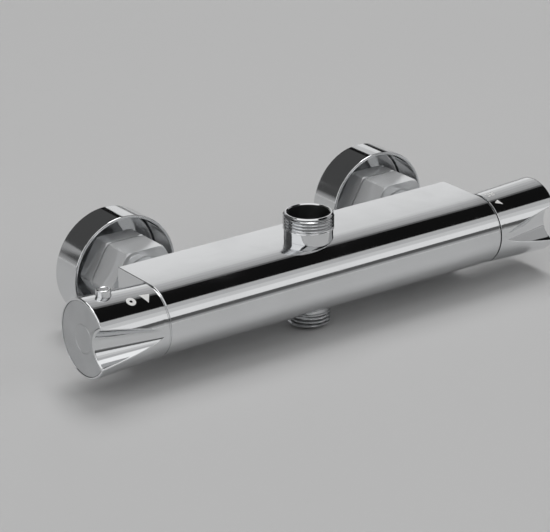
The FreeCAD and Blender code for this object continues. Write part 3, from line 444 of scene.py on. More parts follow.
def finish_named(slot):
    """The material of one of the record's slots, made when it is first asked for."""
    if slot not in FINISHES:
        tones = sizes("colours")
        makers = {
            "polished_chrome": lambda: polished_chrome("polished_chrome", tones.chrome, "X"),
            "handle_chrome": lambda: polished_chrome("handle_chrome", tones.chrome, "X", 0.05),
            "button_chrome": lambda: polished_chrome("button_chrome", tones.chrome, "Z", 0.22),
            "plated_brass": lambda: polished_chrome("plated_brass", tones.turned, "Z", 0.07),
            "riser_chrome": lambda: thread_chrome("riser_chrome", tones.turned, RISER),
            "hose_chrome": lambda: thread_chrome("hose_chrome", tones.turned, HOSE),
            "milled_chrome": lambda: polished_chrome("milled_chrome", tones.turned, "X", 0.10, 0.40),
            "pressed_chrome": lambda: cup_chrome("pressed_chrome", tones.pressed),
            "satin_chrome": lambda: satin_chrome("satin_chrome", tones.satin),
            "brass": lambda: turned_metal(
                "brass", tones.brass, (0, BAR_Y, BAR_Z), (0, 1, 1), 0.35 * MM, 0.22),
            "copper_alloy": lambda: turned_metal(
                "copper_alloy", tones.copper, (0, BAR_Y, BAR_Z), (0, 1, 1), 0.5 * MM, 0.28),
            "stainless_steel": lambda: turned_metal(
                "stainless_steel", tones.steel, (0, BAR_Y, BAR_Z), (0, 1, 1), 0.25 * MM, 0.25),
            "ceramic": lambda: moulded("ceramic", tones.ceramic, 0.12, 2000, 0.4),
            "white_plastic": lambda: moulded("white_plastic", tones.plastic, 0.38),
            "seal_rubber": lambda: moulded("seal_rubber", tones.rubber, 0.5),
            "washer_fibre": lambda: moulded("washer_fibre", tones.fibre, 0.7, 1500),
            "mark_enamel": lambda: moulded("mark_enamel", tones.enamel, 0.25, 1200, 0.3)}
        FINISHES[slot] = makers[slot]()
    return FINISHES[slot]


# ------------------------------------------------------------ modelling tools
def start_circle(name, count):
    """A circle primitive, alone in the selection and open in edit mode."""
    bpy.ops.object.select_all(action="DESELECT")
    bpy.ops.mesh.primitive_circle_add(vertices=count, radius=BAR_R)
    made = bpy.context.active_object
    made.name = made.data.name = name
    bpy.ops.object.mode_set(mode="EDIT")
    bpy.ops.mesh.select_all(action="SELECT")
    return made


def settle(mesh, indices, places):
    edited = bmesh.from_edit_mesh(mesh)
    edited.verts.ensure_lookup_table()
    for index, place in zip(indices, places):
        edited.verts[index].co = place


def extruded_from(mesh, indices):
    """The new vertex that each vertex of the last ring was drawn out to."""
    edited = bmesh.from_edit_mesh(mesh)
    edited.verts.ensure_lookup_table()
    old = set(indices)
    fresh = []
    for index in indices:
        vertex = edited.verts[index]
        ends = [edge.other_vert(vertex) for edge in vertex.link_edges]
        fresh.append(next(end.index for end in ends if end.select and end.index not in old))
    return fresh


def skin(name, rings, place):
    """A closed shell, extruded from a circle through rings of points and set in the row's axes."""
    made = start_circle(name, len(rings[0]))
    indices = list(range(len(rings[0])))
    settle(made.data, indices, rings[0])
    for ring in rings[1:]:
        bpy.ops.mesh.extrude_region_move()
        indices = extruded_from(made.data, indices)
        settle(made.data, indices, ring)
    bpy.ops.mesh.select_all(action="SELECT")
    bpy.ops.mesh.remove_doubles(threshold=2e-7)
    bpy.ops.mesh.delete_loose()
    bpy.ops.object.mode_set(mode="OBJECT")
    made.data.transform(place)
    turn_outwards(made)
    return made


def edit(piece):
    """Opens a piece alone in edit mode, with all of it selected."""
    bpy.ops.object.select_all(action="DESELECT")
    bpy.context.view_layer.objects.active = piece
    piece.select_set(True)
    bpy.ops.object.mode_set(mode="EDIT")
    bpy.ops.mesh.select_all(action="SELECT")


def turn_outwards(piece):
    edit(piece)
    bpy.ops.mesh.normals_make_consistent(inside=False)
    bpy.ops.object.mode_set(mode="OBJECT")


def apply(piece, kind, **settings):
    """Adds a modifier to a piece with those settings and applies it."""
    bpy.ops.object.select_all(action="DESELECT")
    bpy.context.view_layer.objects.active = piece
    piece.select_set(True)
    modifier = piece.modifiers.new(kind.lower(), kind)
    for key, value in settings.items():
        setattr(modifier, key, value)
    bpy.ops.object.modifier_apply(modifier=modifier.name)


def bore(piece, tools):
    """Cuts closed shells out of a piece and removes them."""
    for tool in tools:
        apply(piece, "BOOLEAN", operation="DIFFERENCE", object=tool, solver="EXACT")
        bpy.data.objects.remove(tool)


def smooth(piece, degrees=32):
    """Smooth shading that keeps sharp edges and follows the large faces."""
    bpy.ops.object.select_all(action="DESELECT")
    bpy.context.view_layer.objects.active = piece
    piece.select_set(True)
    bpy.ops.object.shade_smooth_by_angle(angle=math.radians(degrees))
    apply(piece, "WEIGHTED_NORMAL", keep_sharp=True, weight=80)


def dress(piece, body, slot, *nodes, finish=None):
    """Gives a finished piece its material, from its finish or else its slot, sets it on its body and hides the nodes
    it stands for.
    """
    piece.data.materials.clear()
    piece.data.materials.append(finish_named(finish or slot))
    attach(piece, body)
    if nodes:
        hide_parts(*nodes)
    return piece


def copy_of(piece, name, move):
    """A copy with a mesh of its own, set elsewhere by a matrix."""
    made = piece.copy()
    made.data = piece.data.copy()
    made.name = made.data.name = name
    bpy.context.scene.collection.objects.link(made)
    made.data.transform(move)
    return made


# ------------------------------------------------------------ outlines
def circle(along, radius, angles):
    """A ring of points about the X axis.  Angles run from the front, -Y, towards the top."""
    return [Vector((along, -radius * math.cos(a), radius * math.sin(a))) for a in angles]


def even_angles(count):
    return [math.tau * k / count for k in range(count)]


def eased(corners, steps=4):
    """A closed profile of (along, radius, round) corners, with each round drawn as a few points."""
    points = []
    for k, (along, radius, ease) in enumerate(corners):
        here = Vector((along, radius))
        if ease == 0:
            points.append(here)
            continue
        before = Vector(corners[k - 1][:2]) - here
        after = Vector(corners[(k + 1) % len(corners)][:2]) - here
        reach = ease / math.tan(before.angle(after) / 2)
        start = here + before.normalized() * reach
        end = here + after.normalized() * reach
        for j in range(steps + 1):
            t = j / steps
            points.append(start * (1 - t) ** 2 + here * 2 * t * (1 - t) + end * t * t)
    return points


def turn_profile(name, corners, place, count=128):
    """A piece turned about the X axis from a closed profile."""
    angles = even_angles(count)
    points = eased(corners)
    rings = [circle(point.x, point.y, angles) for point in points + points[:1]]
    return skin(name, rings, place)


def groove_share(phase):
    """How deep a V thread is cut at a phase of its pitch, from 0 at the crest to 1 at the root."""
    distance = abs(2 * (phase % 1) - 1)
    return min(1, max(0, (distance - 0.14) / 0.68))


def thread(start, end, radius, pitch, angles, rim, steps=12):
    """Rings of a helical V thread that runs out at its root and through its chamfered rim."""
    count = round((end - start) / pitch * steps)
    rings = []
    for k in range(count + 1):
        along = start + (end - start) * k / count
        depth = 0.6 * pitch * min(1, (along - start) / (0.8 * pitch))
        crest = min(radius, radius - rim + end - along)
        ring = []
        for angle in angles:
            cut = depth * groove_share(along / pitch - angle / math.tau)
            ring += circle(along, min(crest, radius - cut), [angle])
        rings.append(ring)
    return rings


def hexagon(along, across_flats, envelope, flat_points=9, corner_points=7):
    """A ring round a hexagon with two flats square to Z, its corners turned to an envelope radius."""
    half = across_flats / 2
    reach = math.acos(min(1, half / envelope))
    reach = min(reach, math.pi / 6)
    ring = []
    for k in range(6):
        middle = UPRIGHT + k * math.pi / 3
        for j in range(flat_points):
            offset = reach * (2 * j / (flat_points - 1) - 1)
            radius = half / math.cos(offset)
            ring += circle(along, radius, [middle + offset])
        for j in range(1, corner_points + 1):
            t = j / (corner_points + 1)
            offset = reach + (math.pi / 3 - 2 * reach) * t
            radius = min(envelope, half / math.cos(min(offset, math.pi / 3 - offset)))
            ring += circle(along, radius, [middle + offset])
    return ring


def angles_of(ring):
    """The angle of each point of a ring about the X axis."""
    return [math.atan2(point.z, -point.y) for point in ring]


# ------------------------------------------------------------ body and seam rings
def body_outline(along, inset, edge):
    """The D-shaped section, inset all round: a half-round front and a flat top, back and underside."""
    radius = BAR_R - inset
    back = BODY_BACK - inset
    edge = max(edge - inset, 0.02 * MM)
    ring = circle(along, radius, [math.pi * (k / 96 - 0.5) for k in range(97)])
    side = [back * t for t in (0.25, 0.5, 0.75)]
    ring += [Vector((along, y, radius)) for y in side]
    for k in range(7):
        turn = UPRIGHT * (1 - k / 6)
        ring.append(Vector((
            along, back - edge + edge * math.cos(turn), radius - edge + edge * math.sin(turn))))
    ring += [Vector((along, back, radius * t)) for t in (0.6, 0.3, 0, -0.3, -0.6)]
    for k in range(7):
        turn = -UPRIGHT * k / 6
        ring.append(Vector((
            along, back - edge + edge * math.cos(turn), -radius + edge + edge * math.sin(turn))))
    ring += [Vector((along, y, -radius)) for y in reversed(side)]
    return ring


def cylinder(name, start, end, radius, place, count=64):
    angles = even_angles(count)
    rings = [circle(along, r, angles) for along, r in ((start, 0), (start, radius), (end, radius), (end, 0))]
    return skin(name, rings, place)


class SHOWER_OT_body(bpy.types.Operator):
    """The D-shaped plated body with its bores, and its two bright seam rings"""
    bl_idname = "shower.body"
    bl_label = "Body"

    def execute(self, context):
        have = sizes("body_sizes")
        end = BAR_END
        outside = []
        for k in range(5):
            turn = UPRIGHT * k / 4
            along = end - have.edge + have.edge * math.cos(turn)
            inset = have.edge - have.edge * math.sin(turn)
            outside.append((along, inset))
        stations = outside + [(-along, inset) for along, inset in reversed(outside)]
        rings = [body_outline(along, inset, have.back_edge) for along, inset in stations]
        angles = angles_of(rings[0])
        bores = [
            (-end, have.mouth_r), (have.mouth_depth - end, have.mouth_r),
            (have.mouth_depth - end, have.bore_r), (have.flow_depth - end, have.bore_r),
            (have.flow_depth - end, have.passage_r), (end - have.thermostat_depth, have.passage_r),
            (end - have.thermostat_depth, have.bore_r), (end - have.mouth_depth, have.bore_r),
            (end - have.mouth_depth, have.mouth_r), (end, have.mouth_r)]
        rings += [circle(along, radius, angles) for along, radius in bores]
        rings.append(rings[0])
        body = skin("plated_body", rings, Matrix.Translation((0, BAR_Y, BAR_Z)))
        riser_r = RISER.size.x / 2 - 0.4 * MM
        hose_r = HOSE.size.x / 2 - 0.4 * MM
        floor = RISER.low.z - BAR_Z - 1.5 * MM
        socket = BODY_BACK - (BODY.high.y - TAIL.low.y)
        bore(body, [
            cylinder("riser_socket", floor, BAR_R + MM, riser_r, at_outlet(1)),
            cylinder("riser_port", floor - 2.9 * MM, floor + MM, 7.5 * MM, at_outlet(1)),
            cylinder("hose_socket", floor, BAR_R + MM, hose_r, at_outlet(-1)),
            cylinder("hose_port", floor - 2.9 * MM, floor + MM, 6.5 * MM, at_outlet(-1)),
            cylinder("hot_socket", -BODY.high.y - MM, -TAIL.low.y + 0.3 * MM, 9.5 * MM, at_supply(SUPPLY_X)),
            cylinder("cold_socket", -BODY.high.y - MM, -TAIL.low.y + 0.3 * MM, 9.5 * MM, at_supply(-SUPPLY_X))])
        smooth(body)
        dress(body, "valve", "polished_chrome", "valve_body")

        for word, side in SIDES:
            node = {-1: "flow_seam_ring", 1: "temperature_seam_ring"}[side]
            ring = Span(node)
            outer = ring.size.z / 2
            made = turn_profile("seam_ring_" + word, [
                (0, outer - 2 * MM, 0), (0, outer, 0), (ring.size.x, outer, 0.15 * MM),
                (ring.size.x, outer - 2 * MM, 0)], at_end(side), 160)
            smooth(made)
            dress(made, "valve", "polished_chrome", node)
        return {"FINISHED"}


# ------------------------------------------------------------ handles
SCOOP_POINTS = 40
EDGE_POINTS = 5
ROUND_POINTS = 72


def handle_radius(along):
    """Outside radius of the flared grip, before its rim is rounded."""
    have = sizes("handle_sizes")
    return BAR_R + (HANDLE_WIDEST - BAR_R) * along / (HANDLE_END - have.rim)


class Scoop:
    """The section that a tilted, tapered cutter leaves across the handle, grown by an offset."""

    def __init__(self, along, offset):
        have = sizes("handle_sizes")
        run = HANDLE_END - have.scoop_start
        fall = handle_radius(have.scoop_start) - have.scoop_floor
        floor_slope = math.atan(fall / run)
        tilt = math.atan((fall + have.scoop_start_r - have.scoop_end_r) / run)
        flare = floor_slope - tilt
        radius = (have.scoop_end_r * math.cos(floor_slope) + offset) / math.cos(flare)
        short = along - HANDLE_END
        lean, spread = math.sin(tilt), math.tan(flare)
        square = 1 - (lean / math.cos(flare)) ** 2
        linear = lean * (short * math.cos(tilt) / math.cos(flare) ** 2 + radius * spread)
        level = short ** 2 * (1 - (math.cos(tilt) / math.cos(flare)) ** 2)
        level -= 2 * radius * spread * short * math.cos(tilt) + radius ** 2
        self.centre = have.scoop_floor + have.scoop_end_r - linear / square
        self.deep = math.sqrt(linear ** 2 - square * level) / square
        self.wide = math.sqrt(linear ** 2 / square - level)

    def front(self, z):
        """How far in front of the axis the scoop's surface lies at a height."""
        return self.centre - self.deep * math.sqrt(max(0, 1 - (z / self.wide) ** 2))

    def corner(self, radius):
        """The height at which the scoop's surface meets a circle about the axis, or 0."""
        if self.front(0) >= radius:
            return 0
        low, high = 0.0, min(self.wide, radius)
        for _ in range(40):
            z = (low + high) / 2
            if z * z + self.front(z) ** 2 < radius * radius:
                low = z
            else:
                high = z
        return low


def grip_outline(along, inset=0.0, scoop_inset=None):
    """The handle's scalloped section, inset all round, from the middle of the scoop upwards."""
    have = sizes("handle_sizes")
    grow = inset if scoop_inset is None else scoop_inset
    radius = handle_radius(along) - inset
    edge = have.scoop_edge
    scoop = Scoop(along, grow)
    rolling = Scoop(along, grow + edge)
    height = rolling.corner(radius - edge)
    half = []
    if height == 0:
        half += [(radius, 0.0)] * (SCOOP_POINTS + EDGE_POINTS)
        start = 0.0
    else:
        centre = Vector((rolling.front(height), height))
        outward = centre.normalized() * edge
        normal = Vector((
            (centre.x - scoop.centre) / scoop.deep ** 2, centre.y / scoop.wide ** 2)).normalized() * edge
        inner = centre - normal
        for k in range(SCOOP_POINTS):
            z = scoop.wide * math.sin(math.asin(inner.y / scoop.wide) * k / SCOOP_POINTS)
            half.append((scoop.front(z), z))
        from_turn = math.atan2(-normal.y, -normal.x)
        to_turn = math.atan2(outward.y, outward.x)
        swing = (to_turn - from_turn + math.pi) % math.tau - math.pi
        for k in range(EDGE_POINTS):
            turn = from_turn + swing * k / EDGE_POINTS
            half.append((centre.x + edge * math.cos(turn), centre.y + edge * math.sin(turn)))
        start = to_turn
    for k in range(ROUND_POINTS):
        turn = start + (math.pi - start) * k / ROUND_POINTS
        half.append((radius * math.cos(turn), radius * math.sin(turn)))
    upper = [Vector((along, -front, z)) for front, z in half]
    back = [Vector((along, radius, 0))]
    lower = [Vector((along, point.y, -point.z)) for point in reversed(upper[1:])]
    return upper + back + lower


def grip_stations():
    """Places along the grip, close together where the scoop begins."""
    have = sizes("handle_sizes")
    start = have.scoop_start
    end = HANDLE_END - have.rim
    count = 44
    return [start + (end - start) * (k / count) ** 1.8 for k in range(count + 1)]


def rounded_rim(along, inset, ease, turn_in, steps=4):
    """(along, inset) stations of a small round at the end of a wall."""
    stations = []
    for k in range(steps + 1):
        turn = UPRIGHT * k / steps
        if turn_in:
            stations.append((along - ease + ease * math.sin(turn), inset + ease - ease * math.cos(turn)))
        else:
            stations.append((along - ease + ease * math.cos(turn), inset - ease + ease * math.sin(turn)))
    return stations


def grip_rings():
    """One closed skin: recess, lip, grip, seam end, hollow, boss, hexagon socket and screw hole."""
    have = sizes("handle_sizes")
    recess = CAP.low.x - BAR_END
    web = recess - 2.6 * MM
    seat = recess - 2.5 * MM
    boss_start = web - 15 * MM
    socket_end = 27 * MM
    lip_round = 0.15 * MM
    flat_angles = angles_of(grip_outline(web))
    rings = [circle(recess, 3.8 * MM, flat_angles), grip_outline(recess, have.lip)]
    rings += [grip_outline(along, inset) for along, inset in reversed(
        rounded_rim(HANDLE_END, have.lip, lip_round, False))]
    rings += [grip_outline(along, inset) for along, inset in reversed(
        rounded_rim(HANDLE_END, 0, have.rim, True))]
    rings += [grip_outline(along) for along in reversed(grip_stations()[:-1])]
    rings.append(grip_outline(HANDLE_START + 0.1 * MM))
    rings.append(grip_outline(HANDLE_START, 0.1 * MM))
    inside = [HANDLE_START + (web - HANDLE_START) * (k / 16) for k in range(17)]
    rings += [grip_outline(along, have.wall, 2 * MM) for along in inside]
    rings.append(circle(web, 9 * MM, flat_angles))
    rings.append(circle(boss_start, 9 * MM, flat_angles))
    flats = [UPRIGHT * 0 + 6.3 * MM / math.cos((a + math.pi / 6) % (math.pi / 3) - math.pi / 6) for a in flat_angles]
    for along in (boss_start, socket_end):
        rings.append([circle(along, r, [a])[0] for r, a in zip(flats, flat_angles)])
    for along, radius in ((socket_end, 2.2), (seat, 2.2), (seat, 3.8)):
        rings.append(circle(along, radius * MM, flat_angles))
    rings.append(rings[0])
    return rings


class SHOWER_OT_handles(bpy.types.Operator):
    """Both flared handles with their thumb scoops, and the hole for the stop button"""
    bl_idname = "shower.handles"
    bl_label = "Handles"

    def execute(self, context):
        rings = grip_rings()
        right = skin("temperature_grip", rings, at_end(1))
        left = skin("flow_grip", rings, at_end(-1))
        radius = 3.53 * MM
        upright = Matrix.Translation((BUTTON.middle.x, BUTTON.middle.y, BAR_Z)) @ Matrix.Rotation(-UPRIGHT, 4, "Y")
        bore(left, [cylinder("button_hole", 12.5 * MM, 25 * MM, radius, upright, 96)])
        for grip, body, node in (
                (right, "temperature_control", "temperature_handle"),
                (left, "flow_control", "flow_handle")):
            smooth(grip, 28)
            dress(grip, body, "polished_chrome", node, finish="handle_chrome")
        return {"FINISHED"}


class SHOWER_OT_end_caps(bpy.types.Operator):
    """The satin caps set in the handles' ends, each with a fine turned ring"""
    bl_idname = "shower.end_caps"
    bl_label = "End caps"

    def execute(self, context):
        have = sizes("handle_sizes")
        back = CAP.low.x - BAR_END + 0.01 * MM
        face = CAP.high.x - BAR_END
        inset = have.lip + have.cap_gap
        ease = 0.2 * MM
        angles = angles_of(grip_outline(face, inset))
        rings = [circle(back, 0, angles), circle(back, 5 * MM, angles), grip_outline(back, inset)]
        for k in range(4):
            turn = UPRIGHT * k / 3
            rings.append(grip_outline(face - ease + ease * math.sin(turn), inset + ease * (1 - math.cos(turn))))
        ring_r = have.cap_ring_r
        groove = 0.25 * MM
        for along, radius in (
                (face, ring_r + groove), (face - 0.14 * MM, ring_r + 0.06 * MM),
                (face - 0.14 * MM, ring_r - 0.06 * MM), (face, ring_r - groove), (face, 3 * MM), (face, 0)):
            rings.append(circle(along, radius, angles))
        for word, side in SIDES:
            node = {-1: "flow_end_cap", 1: "temperature_end_cap"}[side]
            body = {-1: "flow_control", 1: "temperature_control"}[side]
            cap = skin("satin_cap_" + word, rings, at_end(side))
            smooth(cap, 24)
            dress(cap, body, "satin_chrome", node)
        return {"FINISHED"}


class SHOWER_OT_stop_button(bpy.types.Operator):
    """The round-edged stop button on the flow handle"""
    bl_idname = "shower.stop_button"
    bl_label = "Stop button"

    def execute(self, context):
        top = BUTTON.high.z - BAR_Z
        foot = BUTTON.low.z - BAR_Z
        flange = foot + 1.7 * MM
        shoulder = flange + 1.2 * MM
        upright = Matrix.Translation((BUTTON.middle.x, BUTTON.middle.y, BAR_Z)) @ Matrix.Rotation(-UPRIGHT, 4, "Y")
        button = turn_profile("flow_stop_button", [
            (foot, 0, 0), (foot, 2.1 * MM, 0.2 * MM), (flange, 2.1 * MM, 0),
            (flange, BUTTON.size.x / 2, 0.15 * MM), (shoulder, BUTTON.size.x / 2, 0.15 * MM),
            (shoulder, 3.45 * MM, 0), (top, 3.45 * MM, 0.7 * MM), (top, 2.2 * MM, 0.1 * MM),
            (top - 0.12 * MM, 1.9 * MM, 0.1 * MM), (top - 0.05 * MM, 0, 0)], upright, 96)
        smooth(button)
        dress(button, "stop_button", "polished_chrome", "flow_button", finish="button_chrome")
        return {"FINISHED"}


# ------------------------------------------------------------ outlets
def nipple_rings(start, end, radius, bore_r, threaded, pitch, count=144):
    """A threaded outlet: plain neck, helical thread, chamfered rim and bore."""
    have = sizes("outlet_sizes")
    angles = even_angles(count)
    neck = radius - have.neck_step
    lead_in = have.rim / 2
    rings = [circle(start, bore_r, angles), circle(start, neck, angles)]
    rings.append(circle(end - threaded - 0.3 * MM, neck, angles))
    rings += thread(end - threaded, end, radius, pitch, angles, have.rim)
    rings.append(circle(end, bore_r + lead_in, angles))
    rings.append(circle(end - lead_in, bore_r, angles))
    rings.append(rings[0])
    return rings


class SHOWER_OT_outlets(bpy.types.Operator):
    """The threaded riser outlet on top and the threaded hose outlet underneath"""
    bl_idname = "shower.outlets"
    bl_label = "Outlets"

    def execute(self, context):
        have = sizes("outlet_sizes")
        start = RISER.low.z - BAR_Z
        riser = skin("riser_outlet", nipple_rings(
            start, RISER.high.z - BAR_Z, RISER.size.x / 2, 10 * MM, have.riser_thread,
            have.riser_pitch), at_outlet(1))
        hose = skin("hose_outlet", nipple_rings(
            start, BAR_Z - HOSE.low.z, HOSE.size.x / 2, 8 * MM, have.hose_thread,
            have.hose_pitch), at_outlet(-1))
        for nipple, node, finish in (
                (riser, "riser_nipple", "riser_chrome"), (hose, "hose_nipple", "hose_chrome")):
            smooth(nipple, 40)
            dress(nipple, "valve", "plated_brass", node, finish=finish)
        return {"FINISHED"}


# ------------------------------------------------------------ unions and flanges
def nut_rings(start, end, across):
    """Rings along a hexagon nut, with corners turned back at both ends."""
    have = sizes("union_sizes")
    corner = across / math.sqrt(3) - 0.25 * MM
    cut = have.corner_cut
    stations = [(0, cut)] + [(cut * 0.5 * t, cut * (1 - t)) for t in (0.33, 0.66, 1)]
    rings = []
    for along, back in stations:
        rings.append(hexagon(start + along, across, corner - back))
    for along, back in reversed(stations):
        rings.append(hexagon(end - along, across, corner - back))
    return rings


class SHOWER_OT_unions(bpy.types.Operator):
    """Union nuts, wall connectors, inlet tails and flange cups at both supplies"""
    bl_idname = "shower.unions"
    bl_label = "Unions and flanges"

    def execute(self, context):
        left = [self.flange(), self.nut(), self.connector(), self.tail()]
        across = Matrix.Translation((-2 * SUPPLY_X, 0, 0))
        slots = ("pressed_chrome", "plated_brass", "plated_brass", "plated_brass")
        nodes = ("wall_flange_", "union_nut_", "wall_connector_", "inlet_tail_")
        finishes = ("pressed_chrome", "milled_chrome", "milled_chrome", "plated_brass")
        creases = (32, 20, 20, 32)
        for piece, slot, node, finish, crease in zip(left, slots, nodes, finishes, creases):
            right = copy_of(piece, piece.name.replace("left", "right"), across)
            for made, word in ((piece, "left"), (right, "right")):
                smooth(made, crease)
                dress(made, "valve", slot, node + word, finish=finish)
        return {"FINISHED"}

    def flange(self):
        have = sizes("union_sizes")
        rim = -FLANGE.low.y
        outer = FLANGE.size.z / 2
        wall = have.flange_wall
        hole = have.supply_r + 0.1 * MM
        return turn_profile("flange_cup_left", [
            (0, hole, 0), (0, outer, 1.0 * MM), (rim, outer, have.flange_edge),
            (rim, outer - wall, have.flange_edge), (wall, outer - wall, 1.2 * MM), (wall, hole, 0)],
            at_supply(SUPPLY_X), 192)

    def nut(self):
        start, end = -NUT.high.y, -NUT.low.y
        rings = nut_rings(start, end, NUT.size.z)
        angles = angles_of(rings[0])
        inner = end - 4 * MM
        bores = [(end, 10.4), (end - 0.3 * MM, 10.1), (inner, 10.1), (inner, 13.32), (start, 13.32)]
        rings += [circle(along, radius * MM, angles) for along, radius in bores]
        rings.append(rings[0])
        return skin("union_hex_left", rings, at_supply(SUPPLY_X))

    def connector(self):
        have = sizes("union_sizes")
        front = -FLANGE.low.y + 0.3 * MM
        back = front - have.hexagon_length
        nut = nut_rings(back, front, NUT.size.z)
        angles = angles_of(nut[0])
        end = -CONNECTOR.low.y
        start = -CONNECTOR.high.y
        bore_r = 7.5 * MM
        rings = [circle(start, bore_r, angles)]
        supply = thread(0.5 * MM, -start, have.supply_r, have.supply_pitch, angles, MM)
        rings += [[Vector((-point.x, point.y, point.z)) for point in ring] for ring in reversed(supply)]
        rings += [circle(-0.4 * MM, 10 * MM, angles), circle(back, 10 * MM, angles)]
        rings += nut
        rings.append(circle(front, 12.2 * MM, angles))
        rings.append(circle(front + 1.2 * MM, 12.2 * MM, angles))
        rings += thread(front + 1.4 * MM, end, have.nose_r, have.supply_pitch, angles, MM)
        rings.append(circle(end, bore_r, angles))
        rings.append(rings[0])
        return skin("connector_left", rings, at_supply(SUPPLY_X))

    def tail(self):
        boss = TAIL.size.z / 2
        start, end = -TAIL.high.y, -TAIL.low.y
        body = -BODY.high.y
        front = -NUT.low.y + 0.5 * MM
        return turn_profile("tail_boss_left", [
            (start, 7.5 * MM, 0), (start, 12.6 * MM, 0.2 * MM), (start + 3.1 * MM, 12.6 * MM, 0.2 * MM),
            (start + 3.1 * MM, 10 * MM, 0), (front, 10 * MM, 0), (front, boss, 0.35 * MM),
            (body, boss, 0), (body, 9.4 * MM, 0), (end, 9.4 * MM, 0), (end, 6 * MM, 0),
            (start + 14.2 * MM, 6 * MM, 0), (start + 14.2 * MM, 7.5 * MM, 0)],
            at_supply(SUPPLY_X), 128)


# ------------------------------------------------------------ marks on the handles
def wrap(piece, side, along, turn):
    """Bends a flat mark, drawn about the origin, onto a handle at a place along and round it."""
    for vertex in piece.data.vertices:
        place = along + side * vertex.co.x
        angle = turn + vertex.co.y / handle_radius(place)
        point = circle(place + BAR_END, handle_radius(place) + vertex.co.z, [angle])[0]
        vertex.co = Vector((side * point.x, point.y + BAR_Y, point.z + BAR_Z))


class SHOWER_OT_marks(bpy.types.Operator):
    """The ring and arrow on the flow handle, and the number and pointer on the temperature handle"""
    bl_idname = "shower.marks"
    bl_label = "Marks"

    def execute(self, context):
        have = sizes("mark_sizes")
        arrow = [(-0.48, 0.38), (0.50, 0.25), (-0.04, -0.62)]
        self.place(self.plate("arrow_mark", arrow, have.arrow), -1, 7.4 * MM, 63.3, "flow_control")
        self.place(self.ring("ring_mark"), -1, 15.4 * MM, 61.7, "flow_control")
        self.place(self.number("number_mark"), 1, 5.6 * MM, 83, "temperature_control")
        pointer = [(-0.5, 0.1), (0.1, 0.45), (0.45, -0.4)]
        self.place(self.plate("pointer_mark", pointer, have.pointer), 1, 5.4 * MM, 60, "temperature_control")
        return {"FINISHED"}

    def plate(self, name, corners, size):
        """A solid arrowhead, cut fine enough to bend."""
        bpy.ops.object.select_all(action="DESELECT")
        bpy.ops.mesh.primitive_circle_add(vertices=len(corners), radius=size, fill_type="NGON")
        made = bpy.context.active_object
        made.name = name
        for vertex, (x, y) in zip(made.data.vertices, corners):
            vertex.co = (x * size, y * size, 0)
        edit(made)
        bpy.ops.mesh.subdivide(number_cuts=5)
        bpy.ops.object.mode_set(mode="OBJECT")
        return made

    def ring(self, name):
        have = sizes("mark_sizes")
        bpy.ops.object.select_all(action="DESELECT")
        bpy.ops.mesh.primitive_circle_add(vertices=64, radius=have.ring_r, fill_type="NOTHING")
        made = bpy.context.active_object
        made.name = name
        edit(made)
        bpy.ops.mesh.extrude_region_move()
        bpy.ops.transform.resize(value=(have.ring_hole, have.ring_hole, 1))
        bpy.ops.object.mode_set(mode="OBJECT")
        return made

    def number(self, name):
        have = sizes("mark_sizes")
        bpy.ops.object.select_all(action="DESELECT")
        bpy.ops.object.text_add()
        made = bpy.context.active_object
        made.data.body = have.temperature
        made.data.size = have.height
        made.data.offset = have.boldness
        made.data.align_x = "CENTER"
        made.data.align_y = "CENTER"
        made.data.resolution_u = 6
        bpy.ops.object.convert(target="MESH")
        made = bpy.context.active_object
        made.name = name
        return made

    def place(self, made, side, along, degrees, body):
        """Gives a flat outline its thickness and lays it on its handle."""
        have = sizes("mark_sizes")
        made.data.name = made.name
        edit(made)
        bpy.ops.mesh.extrude_region_move(TRANSFORM_OT_translate={"value": (0, 0, have.proud)})
        bpy.ops.object.mode_set(mode="OBJECT")
        wrap(made, side, along, math.radians(degrees))
        turn_outwards(made)
        dress(made, body, "white_plastic", finish="mark_enamel")


# ------------------------------------------------------------ pieces kept from the frame
class SHOWER_OT_inner_pieces(bpy.types.Operator):
    """Materials of the pieces that keep the frame's own shape"""
    bl_idname = "shower.inner_pieces"
    bl_label = "Inner pieces"

    def execute(self, context):
        for part in frame["record"]["subparts"]:
            node = frame["nodes"][part["node"]]
            node.data.materials.clear()
            node.data.materials.append(finish_named(part["material_slot"]))
        return {"FINISHED"}


# the springs at the joints: node, body, joint, and the axis whose low end stays
SPRINGS = (
    ("flow_button_spring", "flow_control", "stop_button_press", 2),
    ("thermostat_return_spring", "valve", "shuttle_travel", 0),
    ("check_valve_spring_left", "valve", "left_check_valve_lift", 1),
    ("check_valve_spring_right", "valve", "right_check_valve_lift", 1))


class SHOWER_OT_springs(bpy.types.Operator):
    """Copies of the springs that the moving pieces press on, smoothed and dressed on their bodies; they keep their
    length
    """
    bl_idname = "shower.springs"
    bl_label = "Springs"

    def execute(self, context):
        limits = {joint["name"]: joint.get("range_m") for joint in frame["record"]["behaviour"]["joints"]}
        for node, body, joint, axis in SPRINGS:
            coil = Span(node)
            travel = max(abs(limit) for limit in limits[joint])
            made = bpy.data.objects.new("sprung_" + node, frame["nodes"][node].data.copy())
            made.data.name = made.name
            bpy.context.scene.collection.objects.link(made)
            made.data.transform(frame["nodes"][node].matrix_world)
            edit(made)
            bpy.ops.mesh.remove_doubles(threshold=2e-7)
            bpy.ops.object.mode_set(mode="OBJECT")
            smooth(made, 40)
            dress(made, body, "stainless_steel", node)
            1 - travel / coil.size[axis]
            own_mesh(made)
        return {"FINISHED"}


# ------------------------------------------------------------ stage
def soft_box(name, glow, wide, tall, centre, facing):
    """A flat soft box whose middle is at a place measured from the bar.  It faces that way."""
    light = bpy.data.lights.new(name, "AREA")
    light.shape = "RECTANGLE"
    light.size = wide
    light.size_y = tall
    light.energy = math.pi * glow * wide * tall
    made = bpy.data.objects.new(name, light)
    made.location = BAR_MIDDLE + centre
    made.rotation_mode = "QUATERNION"
    made.rotation_quaternion = (-facing).to_track_quat("Z", "Y")
    made.visible_camera = False
    bpy.context.scene.collection.objects.link(made)


